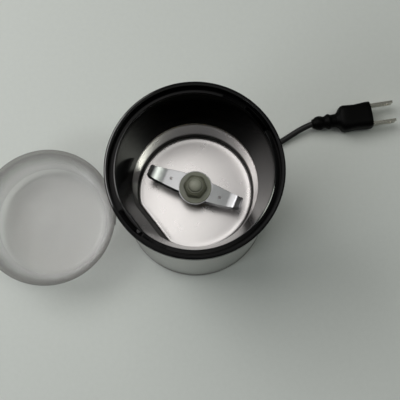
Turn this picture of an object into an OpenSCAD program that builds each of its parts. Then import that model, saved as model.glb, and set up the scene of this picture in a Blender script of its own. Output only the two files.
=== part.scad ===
// Electric spice grinder: steel drum, black collar and base, flat-sided steel
// bowl, two-winged blade on a small brushed motor, cord wound under the base,
// and a clear lid that stands upside down beside the drum.
// Millimetres, +Z up, origin on the drive axis at table level.

/* [Drum and collar] */
// Height from the table to the top of the rim
body_h = 120; // [116:0.5:130]
// Diameter over the rim of the collar
rim_d = 92; // [91:0.5:96]
// Overhang of the rim over the steel drum
rim_over = 1; // [0.5:0.1:2]
// Sheet thickness of the steel drum
drum_t = 0.8; // [0.5:0.1:1]
// Height of the rim that stands above the drum
rim_h = 6; // [4:0.5:8]
// Width of the raised lip of the rim
lip_w = 1.5; // [1:0.1:2]
// Drop from the lip to the ledge that carries the lid
ledge_drop = 4.9; // [4:0.1:6]
// Width of the ledge inside the lip
ledge_w = 3.2; // [2.6:0.1:4]
// Depth from the lip to the joint between collar and bowl
hopper_h = 40.4; // [38:0.2:44]
// Wall of the collar's cone
collar_t = 2.2; // [1.6:0.1:2.4]
// Thickness of the collar's bottom flange
flange_t = 2.4; // [2:0.1:4]
// Height of the collar's head that holds the lid catches
head_h = 11.5; // [10:0.5:14]

/* [Bowl] */
// Gap between the drum and the bowl's wall at the joint
bowl_inset = 8.2; // [8:0.1:9]
// How much smaller the bowl's radius is at its floor
bowl_lean = 2.6; // [2:0.1:4]
// Depth of the bowl below the joint
bowl_h = 23.4; // [21:0.2:26]
// Sheet thickness of the bowl
bowl_t = 0.8; // [0.5:0.1:1]
// Corner radius between the bowl's wall and floor
bowl_fillet = 2.2; // [1.6:0.1:4]
// Depth that the flat side cuts off at the joint
flat_depth = 3; // [2:0.1:3.5]
// How much nearer to the axis the flat side is at the floor
flat_lean = 4; // [3:0.1:5]
// Depth that the flat side cuts off at the ledge
flat_ledge_depth = 1; // [0.5:0.1:2]
// Direction that the flat side faces
flat_az = 219; // [216:1:222]

/* [Lid catches] */
// Direction of the catch on the right
catch_az = 38; // [36:1:40]
// Angle that each catch spans
catch_angle = 16; // [12:1:18]
// Reach of each catch inside the lip
catch_w = 1.6; // [1:0.1:2]
// Thickness of each catch
catch_t = 1.7; // [1.2:0.1:2.2]
// Depth of the pocket under each catch
pocket_depth = 4; // [3:0.5:5]
// Angle of the ramp that leads to each catch
ramp_angle = 13; // [10:1:16]
// Rise of that ramp
ramp_rise = 1.6; // [1:0.1:2]

/* [Blade and hub] */
// Gap between the blade's tips and the bowl's wall at the floor
tip_gap = 4.9; // [4:0.1:6]
// Width of each wing where it leaves the hub
blade_root_w = 12.5; // [10:0.5:14]
// Width of each wing at its tip
blade_tip_w = 7.6; // [6:0.2:10]
// Sheet thickness of the blade
blade_t = 1.2; // [0.8:0.1:1.6]
// Height of the blade above the bowl's floor
blade_lift = 12; // [11:0.5:14]
// Length of the tip that is bent up
tip_l = 4.6; // [3:0.2:5]
// Angle that the tip is bent up
tip_angle = 50; // [30:1:60]
// Distance from the axis to the small hole in each wing
wing_hole_at = 15.2; // [13.5:0.1:18]
// Diameter of the small hole in each wing
wing_hole_d = 1.8; // [1.2:0.1:2.4]
// Direction of one wing at rest
blade_az = -22; // [-40:1:0]
// Diameter of the shaft
shaft_d = 6; // [5:0.2:6.4]
// Diameter of the nut's round flange
nut_flange_d = 18.6; // [16:0.2:20]
// Width across the nut's flats
nut_flats = 12.4; // [10:0.2:13]
// Height of the nut's hexagon
nut_h = 5; // [4:0.2:6]

/* [Motor] */
// Gap between the stator and the drum
motor_gap = 18.2; // [17:0.2:20]
// How much narrower the stator is over its flat sides
stator_flat = 8; // [6:0.5:9]
// Height of the stator and armature stacks
stack_h = 14; // [12:0.5:15]
// Thickness of the stator beside the armature, on its flat sides
pole_t = 8; // [7.8:0.1:9]
// Air gap between the armature and the stator
air_gap = 0.4; // [0.3:0.05:0.6]
// Outer diameter of the two ball bearings
bearing_d = 13; // [12:0.2:14]
// Height of the two ball bearings
bearing_h = 4; // [3:0.2:4.4]
// Diameter of the commutator
commutator_d = 15; // [13:0.2:16]
// Height of the commutator
commutator_h = 6.4; // [5:0.2:7]
// Gap between the cooling fan and the wall round it
fan_gap = 7; // [5:0.5:9]
// Height of the fan's blades
fan_h = 5.4; // [4:0.2:6]
// Number of the fan's blades
fan_blades = 11; // [7:1:13]
// Diameter of the bolts that clamp the stator
bolt_d = 3; // [2.5:0.1:3.4]

/* [Lid switch] */
// Direction of the pin that the lid presses
pin_az = 227.6; // [226:0.2:229]
// Diameter of the pin
pin_d = 2; // [1.6:0.1:2.2]
// Travel of the pin
pin_travel = 3; // [2:0.2:3.4]
// Length of the switch body
switch_l = 20; // [18:0.5:22]
// Height of the switch body
switch_h = 10; // [8:0.5:11]
// Thickness of the switch body
switch_t = 5.6; // [5:0.1:6]

/* [Base] */
// Overhang of the base over the drum
base_over = 0.5; // [0.2:0.1:1]
// Height of the base's skirt from the table
skirt_h = 6; // [5:0.5:8]
// Wall of the base's skirt
skirt_t = 2.5; // [2:0.1:2.8]
// Thickness of the deck over the cord recess
deck_t = 2.5; // [2:0.1:3.5]
// Gap between the wound cord and the wall round the motor's lower end
coil_gap = 4.4; // [4.2:0.1:5]
// Thickness of the wall round the motor's lower end
hub_t = 2; // [1.5:0.1:2.4]
// Thickness of the bottom cover
cover_t = 2; // [1.5:0.1:3]
// Height of the rubber foot pads
pad_h = 1.6; // [1.4:0.1:2.5]
// Diameter of each foot pad
pad_d = 9; // [7:0.5:10]
// Diameter of the tie screws that clamp the drum
tie_d = 3; // [2.5:0.1:3.2]
// Distance from the drum's inner face to the tie screws
tie_inset = 4; // [3.9:0.1:4.2]

/* [Cord] */
// Diameter of the cord
cord_d = 4; // [3.6:0.1:4.2]

/* [Lid] */
// Gap between the lid's brim and the rim's lip
lid_slip = 1.3; // [1.2:0.1:2.4]
// How much smaller the lid's radius is at its flat crown
crown_inset = 9.2; // [7:0.2:12]
// Height of the lid
lid_h = 27; // [24:0.5:32]
// Wall of the lid
lid_t = 1.8; // [1.4:0.1:2.4]
// Corner radius between the lid's crown and side
lid_corner = 7; // [5:0.5:8]
// Gap between the lid and the rim, seen from above
lid_gap = 5.8; // [5:0.1:20]
// Place of the lid on the table, away
lid_y = -10; // [-30:1:10]

/* [Hidden] */
$fn = 96;

// Small clearances that the fits share
slip = 0.1;
run = 0.05;
seat = 0.3;
eps = 1;

// Levels, from the table up
skirt_z0 = pad_h - 0.4;
cover_z0 = pad_h;
cover_z1 = cover_z0 + cover_t;
wind_z0 = cover_z1 + 0.8;
wind_z1 = wind_z0 + 2 * cord_d;
deck_z0 = wind_z1 + 0.6;
deck_z1 = deck_z0 + deck_t;

// Levels, from the top down
joint_z = body_h - hopper_h;
ledge_z = body_h - ledge_drop;
rim_z = body_h - rim_h;
head_z = body_h - head_h;
floor_z = joint_z - bowl_h;
pan_z = floor_z - bowl_t;
plate_t = 2.2;
plate_z1 = pan_z - 2 * seat;
plate_z0 = plate_z1 - plate_t;

// The motor fills the room under the plate: its lengths share what there is
fan_lift = 5.1;
motor_room = plate_z0 - cover_z1 - fan_lift;
motor_need = 9 + 4.6 + stack_h + 3.2 + seat + commutator_h + 1 + fan_h;
squeeze = motor_room / motor_need;
damper_h = 2 * squeeze;
bracket_t = 2 * squeeze;
leg_h = 4.6 * squeeze;
core_h = stack_h * squeeze;
winding_up = 4.2 * squeeze;
winding_down = 3.2 * squeeze;
top_bracket_z1 = plate_z0 - damper_h;
top_bracket_z0 = top_bracket_z1 - bracket_t;
stack_z1 = top_bracket_z0 - leg_h;
stack_z0 = stack_z1 - core_h;
commutator_z1 = stack_z0 - winding_down - seat * squeeze;
commutator_z0 = commutator_z1 - commutator_h * squeeze;
low_bracket_z1 = commutator_z0 - squeeze;
low_bracket_z0 = low_bracket_z1 - bracket_t;
low_bearing_z0 = low_bracket_z0 - 2 * squeeze;
fan_disc_t = 1.2;
fan_z1 = low_bearing_z0 - squeeze;
fan_z0 = fan_z1 - fan_h * squeeze;
shaft_z0 = fan_z0 - 0.6;

// Radii, from the rim in
rim_r = rim_d / 2;
lip_r = rim_r - lip_w;
ledge_r = lip_r - ledge_w;
drum_r = rim_r - rim_over;
drum_in = drum_r - drum_t;
spigot_r = drum_in - slip;
flange_r = drum_in - 0.6;
bowl_r = drum_in - bowl_inset;
floor_r = bowl_r - bowl_lean;
flat_top = bowl_r - flat_depth;
flat_floor = flat_top - flat_lean;
flat_ledge = ledge_r - flat_ledge_depth;
blade_l = 2 * (floor_r - tip_gap);
base_r = drum_r + base_over;
recess_r = base_r - skirt_t;
wind_in = recess_r - 2 * cord_d - 0.6;
wind_out = wind_in + 2 * cord_d;
hub_r = wind_in - coil_gap;
tie_at = drum_in - tie_inset;
stator_d = 2 * (drum_in - motor_gap);
stator_w = stator_d - stator_flat;
armature_d = stator_w - 2 * pole_t;
fan_d = 2 * (hub_r - hub_t - fan_gap);
lid_r = lip_r - lid_slip;
crown_r = lid_r - crown_inset;
lid_x = -(rim_r + lid_r + lid_gap);
shaft_r = shaft_d / 2;
groove_w = 0.9;
groove_depth = 0.9;
pocket_r = ledge_r + 0.8;

// The cone's inner radius and the flat side's distance at a height
cone_slope = (ledge_r - bowl_r) / (ledge_z - joint_z);
function cone_r(z) = bowl_r + (z - joint_z) * cone_slope;
flat_slope = (flat_ledge - flat_top) / (ledge_z - joint_z);
function flat_at(z) = flat_top + (z - joint_z) * flat_slope;
bowl_flat_slope = (flat_top - flat_floor) / bowl_h;

// Gasket between the collar and the bowl's flange
gasket_r = bowl_r + 1.3;
gasket_w = 1.1;
gasket_t = 0.85;

// Tie screws
tie_az = [47.5, 167.5, 287.5];
post_r = 2.8;
boss_r = 3.3;
boss_z1 = joint_z + 8;
tie_head_r = 2.7;
tie_head_h = 2.2;
tie_z0 = deck_z0 + 0.2;
tie_z1 = boss_z1 - 1.5;

// Switch
pin_at = ledge_r + 1.3;
pin_r = pin_d / 2;
pin_z1 = ledge_z - 1.4;
pin_foot_t = 1.2;
pin_z0 = joint_z - bowl_t - pin_foot_t - 2 * slip;
pin_collar_r = 1.55;
pin_collar_t = 1.2;
spring_z0 = joint_z + flange_t;
spring_z1 = spring_z0 + 11;
button_r = 1.3;
button_in = 1.5;
switch_at = sqrt(pow(drum_in, 2) - pow(switch_l / 2, 2)) - seat - switch_t / 2;
switch_z1 = pin_z0 - pin_travel - 0.6;
switch_z0 = switch_z1 - switch_h;

// Motor fastening
bolt_at = stator_d / 2 - 2.9;
mount_at = stator_d / 2 + 5;
mount_hole_r = 1.3;
damper_r = 4;
foot_len = 6;
bridge_w = 13;
bearing_r = bearing_d / 2;
wall = 2;
bearing_boss_r = bearing_r + wall;

// Brushes and their holders
brush_z = (commutator_z0 + commutator_z1) / 2;
brush_w = 4.6;
brush_h = commutator_z1 - commutator_z0 - 2.4;
brush_l = 6;
brush_end = commutator_d / 2 + brush_l;
holder_wall = 1.2;
holder_l = 11.6;
brush_spring_r = brush_h / 2 - seat;
brush_spring_l = commutator_d / 2 + holder_l - 3 * slip - brush_end;

// ---------- shared shapes ----------

// Plain ring from r_in to r_out between two heights
module ring(r_in, r_out, z0, z1) {
    rotate_extrude() translate([r_in, z0]) square([r_out - r_in, z1 - z0]);
}

// Part of such a ring, between two directions
module sector(r_in, r_out, z0, z1, a0, a1) {
    rotate([0, 0, a0])
        rotate_extrude(angle = a1 - a0)
            translate([r_in, z0]) square([r_out - r_in, z1 - z0]);
}

// Upright round bar at a distance and direction from the axis
module bar(r, z0, z1, at = 0, az = 0) {
    rotate([0, 0, az]) translate([at, 0, z0]) cylinder(r = r, h = z1 - z0);
}

// Everything on the axis side of a leaning plane that faces flat_az
module inside_flat(d0, z0, d1, z1) {
    rotate([0, 0, flat_az])
        rotate([90, 0, 0])
            linear_extrude(height = 4 * rim_r, center = true)
                polygon([[-2 * rim_r, z0], [d0, z0], [d1, z1], [-2 * rim_r, z1]]);
}

// Points of an arc, for outlines
function arc(cx, cy, r, a0, a1, n) =
    [for (i = [0:n]) [cx + r * cos(a0 + (a1 - a0) * i / n), cy + r * sin(a0 + (a1 - a0) * i / n)]];

// Tube swept along points: rings square to the path, closed at both ends
function unit(v) = v / norm(v);
function along(p, i) = unit(p[min(i + 1, len(p) - 1)] - p[max(i - 1, 0)]);
function side_of(t) = unit(cross(t, [0, 0, 1]));
function ring_at(c, t, r, sides) =
    let (s = side_of(t), u = cross(s, t))
        [for (k = [0:sides - 1]) c + r * (cos(360 * k / sides) * s + sin(360 * k / sides) * u)];
function pick(r, i) = is_list(r) ? r[i] : r;
module tube(path, r, sides = 8) {
    rings = [for (i = [0:len(path) - 1]) each ring_at(path[i], along(path, i), pick(r, i), sides)];
    last = (len(path) - 1) * sides;
    walls = [for (i = [0:len(path) - 2]) for (k = [0:sides - 1])
        let (a = i * sides + k, b = i * sides + (k + 1) % sides)
            each [[a, b, b + sides], [a, b + sides, a + sides]]];
    polyhedron(
        points = rings,
        faces = concat([[for (k = [sides - 1:-1:0]) k]], walls, [[for (k = [0:sides - 1]) last + k]])
    );
}

// ---------- drum, collar and bowl ----------

module outer_shell() {
    color("silver") ring(drum_in, drum_r, skirt_h, rim_z);
}

module hopper_space() {
    intersection() {
        rotate_extrude() polygon([
            [0, joint_z - eps],
            [cone_r(joint_z - eps), joint_z - eps],
            [ledge_r, ledge_z],
            [ledge_r, ledge_z + eps],
            [0, ledge_z + eps]
        ]);
        inside_flat(flat_at(joint_z - eps), joint_z - eps, flat_at(ledge_z + eps), ledge_z + eps);
    }
}

module hopper_wall() {
    intersection() {
        rotate_extrude() polygon([
            [0, joint_z],
            [cone_r(joint_z) + collar_t, joint_z],
            [cone_r(rim_z) + collar_t, rim_z],
            [0, rim_z]
        ]);
        inside_flat(flat_at(joint_z) + collar_t, joint_z, flat_at(rim_z) + collar_t, rim_z);
    }
}

// One ramp up to a catch, as a wedge lying on the ledge
module ramp() {
    hull() {
        translate([ledge_r + 1, -0.2, ledge_z - 0.2]) cube([ledge_w - 1.4, 0.2, 0.3]);
        rotate([0, 0, ramp_angle])
            translate([ledge_r + 1, -0.2, ledge_z - 0.2]) cube([ledge_w - 1.4, 0.2, 0.2 + ramp_rise]);
    }
}

module lid_catch() {
    half = catch_angle / 2;
    sector(lip_r - catch_w, lip_r + 0.4, body_h - 0.5 - catch_t, body_h - 0.5, -half, half);
    rotate([0, 0, -half - ramp_angle - 0.8]) ramp();
}

module catch_pocket() {
    half = catch_angle / 2;
    sector(pocket_r, lip_r - 0.1, ledge_z - pocket_depth, ledge_z + eps / 2, -half, half + 5.5);
}

module top_collar() {
    color("#17181a") difference() {
        union() {
            difference() {
                union() {
                    hopper_wall();
                    ring(cone_r(joint_z) - 3, flange_r, joint_z, joint_z + flange_t);
                    rotate_extrude() polygon([
                        [cone_r(head_z) - 2, head_z], [spigot_r, head_z], [spigot_r, rim_z],
                        [rim_r, rim_z], [rim_r, body_h - 0.6], [rim_r - 0.6, body_h],
                        [lip_r + 0.2, body_h], [lip_r, body_h - 0.2],
                        [lip_r, ledge_z - groove_depth], [lip_r - groove_w, ledge_z - groove_depth],
                        [lip_r - groove_w, ledge_z], [cone_r(head_z) - 2, ledge_z]
                    ]);
                    for (a = tie_az) bar(boss_r, joint_z, boss_z1, tie_at, a);
                }
                hopper_space();
                for (a = [catch_az, catch_az + 180]) rotate([0, 0, a]) catch_pocket();
            }
            for (a = [catch_az, catch_az + 180]) rotate([0, 0, a]) lid_catch();
        }
        for (a = tie_az) bar(tie_d / 2 + run, joint_z - eps, boss_z1 - 1, tie_at, a);
        bar(pin_r + run, head_z - eps, ledge_z + eps, pin_at, pin_az);
        bar(pin_r + 3 * run, joint_z - eps, joint_z + flange_t + eps, pin_at, pin_az);
        ring(gasket_r - run, gasket_r + gasket_w + run, joint_z - eps, joint_z + gasket_t + run);
    }
}

module bowl_space() {
    cx = floor_r - bowl_fillet;
    intersection() {
        rotate_extrude() polygon(concat(
            [[0, floor_z]],
            arc(cx, floor_z + bowl_fillet, bowl_fillet, -90, -4, 8),
            [[bowl_r, joint_z], [bowl_r, joint_z + eps], [0, joint_z + eps]]
        ));
        inside_flat(flat_floor, floor_z, flat_top + bowl_flat_slope * eps, joint_z + eps);
    }
}

module bowl_body() {
    cx = floor_r - bowl_fillet;
    intersection() {
        rotate_extrude() polygon(concat(
            [[0, pan_z]],
            arc(cx, floor_z + bowl_fillet, bowl_fillet + bowl_t, -90, -4, 8),
            [[bowl_r + bowl_t, joint_z - bowl_t / 2], [0, joint_z - bowl_t / 2]]
        ));
        inside_flat(flat_floor + bowl_t, pan_z, flat_top + bowl_t, joint_z);
    }
}

module grinding_bowl() {
    color("gainsboro") difference() {
        union() {
            bowl_body();
            bar(flange_r, joint_z - bowl_t, joint_z);
        }
        bowl_space();
        bar(shaft_r + 4, pan_z - eps, floor_z + eps);
        for (a = tie_az) bar(tie_d / 2 + run, pan_z, joint_z + eps, tie_at, a);
        bar(pin_r + 3 * run, pan_z, joint_z + eps, pin_at, pin_az);
    }
}

module bowl_gasket() {
    color("dimgray") ring(gasket_r, gasket_r + gasket_w, joint_z, joint_z + gasket_t);
}

// ---------- base ----------

cover_screw_az = [40, 160, 280];
cover_screw_at = hub_r - 5.2;
foot_az = [10, 100, 190, 280];
foot_at = cover_screw_at - 8.8;
tab_az = [10, 190, 262];
tab_reach = 38;
notch_y = wind_in + cord_d / 2;
slot_x0 = 8;
slot_x1 = sqrt(pow(base_r, 2) - pow(notch_y - cord_d, 2)) + 2;
gland_az = 249;
gland_slot = 17;
gland_z = wind_z1 - cord_d / 2;
screw_boss_r = 3.4;
screw_boss_z1 = deck_z1 + 2;

module base_moulding() {
    color("#1c1d1f") difference() {
        union() {
            rotate_extrude() polygon([
                [recess_r, skirt_z0], [base_r, skirt_z0], [base_r, skirt_h], [spigot_r, skirt_h],
                [spigot_r, deck_z1], [hub_r - hub_t, deck_z1], [hub_r - hub_t, cover_z1],
                [hub_r, cover_z1], [hub_r, deck_z0], [recess_r, deck_z0]
            ]);
            for (a = tie_az) bar(screw_boss_r, deck_z0 + deck_t / 2, screw_boss_z1, tie_at, a);
            for (a = cover_screw_az)
                rotate([0, 0, a]) translate([cover_screw_at, -3, cover_z1 + slip])
                    cube([hub_r - hub_t / 2 - cover_screw_at, 6, 2.2]);
        }
        for (a = tie_az) {
            bar(tie_d / 2 + run, deck_z0 - eps, screw_boss_z1 + eps, tie_at, a);
            bar(tie_head_r + run, deck_z0 - eps, tie_z0 + tie_head_h, tie_at, a);
        }
        for (a = cover_screw_az) bar(1.05, cover_z1 - eps, cover_z1 + 2.2 + eps, cover_screw_at + 1.6, a);
        // slot where the cord leaves, in line with the last turn
        translate([slot_x0, notch_y - cord_d / 2 - 1.2, skirt_z0 - eps])
            cube([slot_x1 - slot_x0, cord_d + 2.4, cord_d + 2.6]);
        // slot through the hub's wall for the cord's gland
        rotate([0, 0, gland_az]) translate([hub_r - 4, -gland_slot / 2, cover_z1 + 2.6])
            cube([6, gland_slot, cord_d + 4]);
    }
}

module base_cover() {
    color("#202123") difference() {
        union() {
            bar(hub_r, cover_z0, cover_z1);
            for (a = tab_az) rotate([0, 0, a]) translate([0, -4, cover_z0]) cube([tab_reach, 8, cover_t]);
        }
        for (a = cover_screw_az) {
            bar(1.3, cover_z0 - eps, cover_z1 + eps, cover_screw_at + 1.6, a);
            bar(2.5, cover_z0 - eps, cover_z0 + 0.9, cover_screw_at + 1.6, a);
        }
        // cooling slots, in two rows of spokes clear of the pads and the screws
        for (a = [0:90:270]) for (side = [-20, 0, 20])
            rotate([0, 0, a + side]) translate([pad_d + 1.2, -0.9, cover_z0 - eps])
                cube([3.4, 1.8, cover_t + 2 * eps]);
        for (a = [10:20:350]) rotate([0, 0, a]) translate([cover_screw_at - 4.2, -0.9, cover_z0 - eps])
            cube([2.4, 1.8, cover_t + 2 * eps]);
    }
}

module cover_screws() {
    color("silver") for (a = cover_screw_az)
        rotate([0, 0, a]) translate([cover_screw_at + 1.6, 0, 0]) difference() {
            union() {
                translate([0, 0, cover_z0 + 0.1]) cylinder(r = 2.3, h = 0.8);
                translate([0, 0, cover_z0 + 0.1]) cylinder(r = 1, h = cover_t + 1.9);
            }
            translate([0, 0, cover_z0]) cylinder(r = 1, h = 0.6, $fn = 6);
        }
}

module foot_pads() {
    color("#2b2b2b") for (a = foot_az) bar(pad_d / 2, 0, pad_h, foot_at, a + 35);
}

module centre_pad() {
    color("#2b2b2b") bar(foot_at - pad_d / 2 - 2.5, 0, pad_h);
}

module tie_screws() {
    color("silver") for (a = tie_az) rotate([0, 0, a]) translate([tie_at, 0, tie_z0]) difference() {
        union() {
            cylinder(r = tie_head_r, h = tie_head_h);
            cylinder(r = tie_d / 2, h = tie_z1 - tie_z0);
        }
        translate([0, 0, -eps]) cylinder(r = 1.3, h = eps + 1.4, $fn = 6);
    }
}

module post(z0, z1) {
    difference() {
        cylinder(r = post_r, h = z1 - z0);
        translate([0, 0, -eps]) cylinder(r = tie_d / 2 + run, h = z1 - z0 + 2 * eps);
    }
}

module lower_spacers() {
    color("#303134") for (a = tie_az)
        rotate([0, 0, a]) translate([tie_at, 0, screw_boss_z1]) post(screw_boss_z1, plate_z0);
}

module upper_spacers() {
    color("#303134") for (a = tie_az)
        rotate([0, 0, a]) translate([tie_at, 0, plate_z1]) post(plate_z1, joint_z - bowl_t);
}

module mid_plate() {
    color("#3a3b3e") difference() {
        union() {
            bar(mount_at + 6, plate_z0, plate_z1);
            for (a = tie_az) {
                bar(post_r, plate_z0, plate_z1, tie_at, a);
                rotate([0, 0, a]) translate([mount_at, -post_r, plate_z0])
                    cube([tie_at - mount_at, 2 * post_r, plate_t]);
            }
            rotate([0, 0, pin_az]) translate([mount_at, -switch_l / 2, plate_z0])
                cube([sqrt(pow(drum_in - 0.5, 2) - pow(switch_l / 2, 2)) - mount_at, switch_l, plate_t]);
        }
        bar(bearing_boss_r + 1.5, plate_z0 - eps, plate_z1 + eps);
        for (a = tie_az) bar(tie_d / 2 + run, plate_z0 - eps, plate_z1 + eps, tie_at, a);
        for (a = [0, 180]) bar(mount_hole_r, plate_z0 - eps, plate_z1 + eps, mount_at, a);
        for (a = [60, 120, 240, 300])
            sector(bearing_boss_r + 5.5, stator_d / 2, plate_z0 - eps, plate_z1 + eps, a - 16, a + 16);
    }
}

// ---------- motor ----------

module mount_screws() {
    color("silver") for (a = [0, 180]) rotate([0, 0, a]) translate([mount_at, 0, 0]) {
        translate([0, 0, top_bracket_z0 - 1.6]) cylinder(r = 2.4, h = 1.6);
        translate([0, 0, top_bracket_z0 - 1.6])
            cylinder(r = mount_hole_r - run, h = plate_z1 - top_bracket_z0 + 1.4);
    }
}

module motor_dampers() {
    color("#26272a") for (a = [0, 180]) rotate([0, 0, a]) translate([mount_at, 0, 0])
        ring(mount_hole_r, damper_r, top_bracket_z1, plate_z0);
}

// Bridge with a bearing boss, drilled for the clamp bolts
module bridge(z0, z1, half) {
    translate([-half, -bridge_w / 2, z0]) cube([2 * half, bridge_w, z1 - z0]);
}

module motor_top_bracket() {
    color("silver") difference() {
        union() {
            bridge(top_bracket_z0, top_bracket_z1, mount_at + damper_r);
            for (s = [-1, 1]) translate([s * bolt_at - foot_len / 2, -bridge_w / 2, stack_z1])
                cube([foot_len, bridge_w, leg_h + bracket_t / 2]);
            bar(bearing_boss_r, top_bracket_z0, top_bracket_z0 + bearing_h + 1);
        }
        bar(bearing_r, top_bracket_z0 + 1, top_bracket_z0 + bearing_h + 2);
        bar(shaft_r + 1, top_bracket_z0 - eps, top_bracket_z0 + 2);
        for (s = [0, 180]) {
            bar(bolt_d / 2 + run, stack_z1 - eps, top_bracket_z1 + eps, bolt_at, s);
            bar(mount_hole_r, top_bracket_z0 - eps, top_bracket_z1 + eps, mount_at, s);
        }
    }
}

module motor_bottom_bracket() {
    color("silver") difference() {
        union() {
            bridge(low_bracket_z0, low_bracket_z1, bolt_at + foot_len / 2);
            rotate([0, 0, 90])
                bridge(low_bracket_z0, low_bracket_z1, commutator_d / 2 + holder_wall + holder_l - seat);
            for (s = [-1, 1]) translate([s * bolt_at - foot_len / 2, -bridge_w / 2, low_bracket_z0])
                cube([foot_len, bridge_w, stack_z0 - low_bracket_z0]);
            bar(bearing_boss_r, low_bearing_z0, low_bracket_z1);
        }
        bar(bearing_r, low_bearing_z0 - eps, low_bearing_z0 + bearing_h - 0.6);
        bar(shaft_r + 1, low_bearing_z0, low_bracket_z1 + eps);
        for (s = [0, 180]) bar(bolt_d / 2 + run, low_bracket_z0 - eps, stack_z0 + eps, bolt_at, s);
    }
}

module motor_bolts() {
    color("silver") for (s = [0, 180]) rotate([0, 0, s]) translate([bolt_at, 0, 0]) {
        translate([0, 0, top_bracket_z1]) cylinder(r = 2.6, h = 1.6);
        translate([0, 0, low_bracket_z0 - 2]) cylinder(r = bolt_d / 2, h = top_bracket_z1 - low_bracket_z0 + 3);
        translate([0, 0, low_bracket_z0 - 2]) cylinder(r = 2.8, h = 2, $fn = 6);
    }
}

// Slots in the stator for the field coils, one in each quarter
slot_half = 15;
slot_in = armature_d / 2 + air_gap + 2;
slot_out = stator_w / 2 - 0.9;
slot_at = [45, 135, 225, 315];

module stator_core() {
    color("dimgray") difference() {
        intersection() {
            bar(stator_d / 2, stack_z0, stack_z1);
            translate([-stator_d, -stator_w / 2, stack_z0]) cube([2 * stator_d, stator_w, core_h]);
        }
        bar(armature_d / 2 + air_gap, stack_z0 - eps, stack_z1 + eps);
        for (a = slot_at) sector(slot_in, slot_out, stack_z0 - eps, stack_z1 + eps, a - slot_half, a + slot_half);
        for (s = [0, 180]) bar(bolt_d / 2 + run, stack_z0 - eps, stack_z1 + eps, bolt_at, s);
    }
}

module field_coils() {
    coil_in = slot_in + seat;
    coil_out = slot_out - seat;
    half = slot_half - 1;
    coil_end = 0.75 * winding_down;
    color("#b0562a") for (pole = [90, 270]) {
        for (a = [pole - 45, pole + 45])
            sector(coil_in, coil_out, stack_z0 - coil_end, stack_z1 + coil_end, a - half, a + half);
        for (z = [stack_z0 - coil_end, stack_z1 + seat])
            sector(coil_in, coil_out, z, z + coil_end - seat, pole - 45 - half, pole + 45 + half);
    }
}

module ball_bearing(z0, h) {
    ring(bearing_r - 1.5, bearing_r - run / 2, z0, z0 + h);
    ring(shaft_r + run, bearing_r - 2, z0, z0 + h);
    ring(bearing_r - 2.1, bearing_r - 1.4, z0 + 0.5, z0 + h - 0.5);
}

module top_bearing() {
    color("lightgray") ball_bearing(top_bracket_z0 + 1, bearing_h);
}

module bottom_bearing() {
    color("lightgray") ball_bearing(low_bearing_z0, bearing_h - 0.6);
}

module shaft_seal() {
    color("#303030") union() {
        ring(shaft_r + run, shaft_r + 4 - run, pan_z, floor_z);
        ring(shaft_r + run, shaft_r + 5, floor_z, floor_z + 1.6);
    }
}

module brush_holders() {
    color("#caa45a") for (s = [0, 180]) rotate([0, 0, s]) difference() {
        translate([-brush_w / 2 - holder_wall, commutator_d / 2 + holder_wall, low_bracket_z1])
            cube([brush_w + 2 * holder_wall, holder_l, brush_z + brush_h / 2 + holder_wall - low_bracket_z1]);
        translate([-brush_w / 2 - run, commutator_d / 2, brush_z - brush_h / 2 - run])
            cube([brush_w + 2 * run, holder_l - slip * 2, brush_h + 2 * run]);
    }
}

module brushes() {
    color("#222222") for (s = [0, 180]) rotate([0, 0, s]) intersection() {
        translate([-brush_w / 2, 0, brush_z - brush_h / 2]) cube([brush_w, brush_end, brush_h]);
        ring(commutator_d / 2 + run, commutator_d, brush_z - brush_h, brush_z + brush_h);
    }
}

module brush_springs() {
    color("silver") for (s = [0, 180]) rotate([0, 0, s])
        translate([0, brush_end, brush_z]) rotate([-90, 0, 0]) difference() {
            cylinder(r = brush_spring_r, h = brush_spring_l);
            translate([0, 0, -eps]) cylinder(r = 0.7 * brush_spring_r, h = brush_spring_l + 2 * eps);
        }
}

module drive_shaft() {
    color("silver") bar(shaft_r, shaft_z0, nut_z0 + nut_flange_t + nut_h - 0.6);
}

module armature_core() {
    color("gray") difference() {
        ring(shaft_r, armature_d / 2, stack_z0, stack_z1);
        for (i = [0:11]) rotate([0, 0, i * 30]) translate([armature_d / 2 - 2.6, -0.9, stack_z0 - eps])
            cube([4, 1.8, core_h + 2 * eps]);
    }
}

module armature_windings() {
    color("#b8642f") {
        ring(shaft_r, armature_d / 2 - 3, stack_z1, stack_z1 + winding_up - 1);
        ring(shaft_r, armature_d / 2 - 4, stack_z1 + winding_up - 1, stack_z1 + winding_up);
        ring(shaft_r, armature_d / 2 - 3, stack_z0 - winding_down, stack_z0);
    }
}

module commutator() {
    color("#b87333") difference() {
        ring(shaft_r, commutator_d / 2, commutator_z0, commutator_z1);
        for (i = [0:11]) rotate([0, 0, i * 30]) translate([commutator_d / 2 - 0.8, -0.2, commutator_z0 - eps])
            cube([2, 0.4, commutator_z1 - commutator_z0 + 2 * eps]);
    }
}

module cooling_fan() {
    color("#e8e8e0") union() {
        ring(shaft_r, shaft_r + 3, fan_z0, fan_z1);
        ring(shaft_r, fan_d / 2, fan_z1 - fan_disc_t, fan_z1);
        for (i = [0:fan_blades - 1]) rotate([0, 0, i * 360 / fan_blades])
            translate([shaft_r + 6, -0.6, fan_z0]) cube([fan_d / 2 - shaft_r - 6.4, 1.2, fan_z1 - fan_z0]);
    }
}

// ---------- blade and hub ----------

blade_z = floor_z + blade_lift;
nut_z0 = blade_z + blade_t;
nut_flange_t = 1.4;
dome_r = 4.2;
tip_shift = 0.8;

module blade_boss() {
    color("#b9a36b") difference() {
        union() {
            bar(shaft_r + 2.4, floor_z + 1.9, blade_z);
            bar(nut_flange_d / 2 - 1.4, blade_z - 2.4, blade_z);
        }
        bar(shaft_r, floor_z, blade_z + eps);
    }
}

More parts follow.
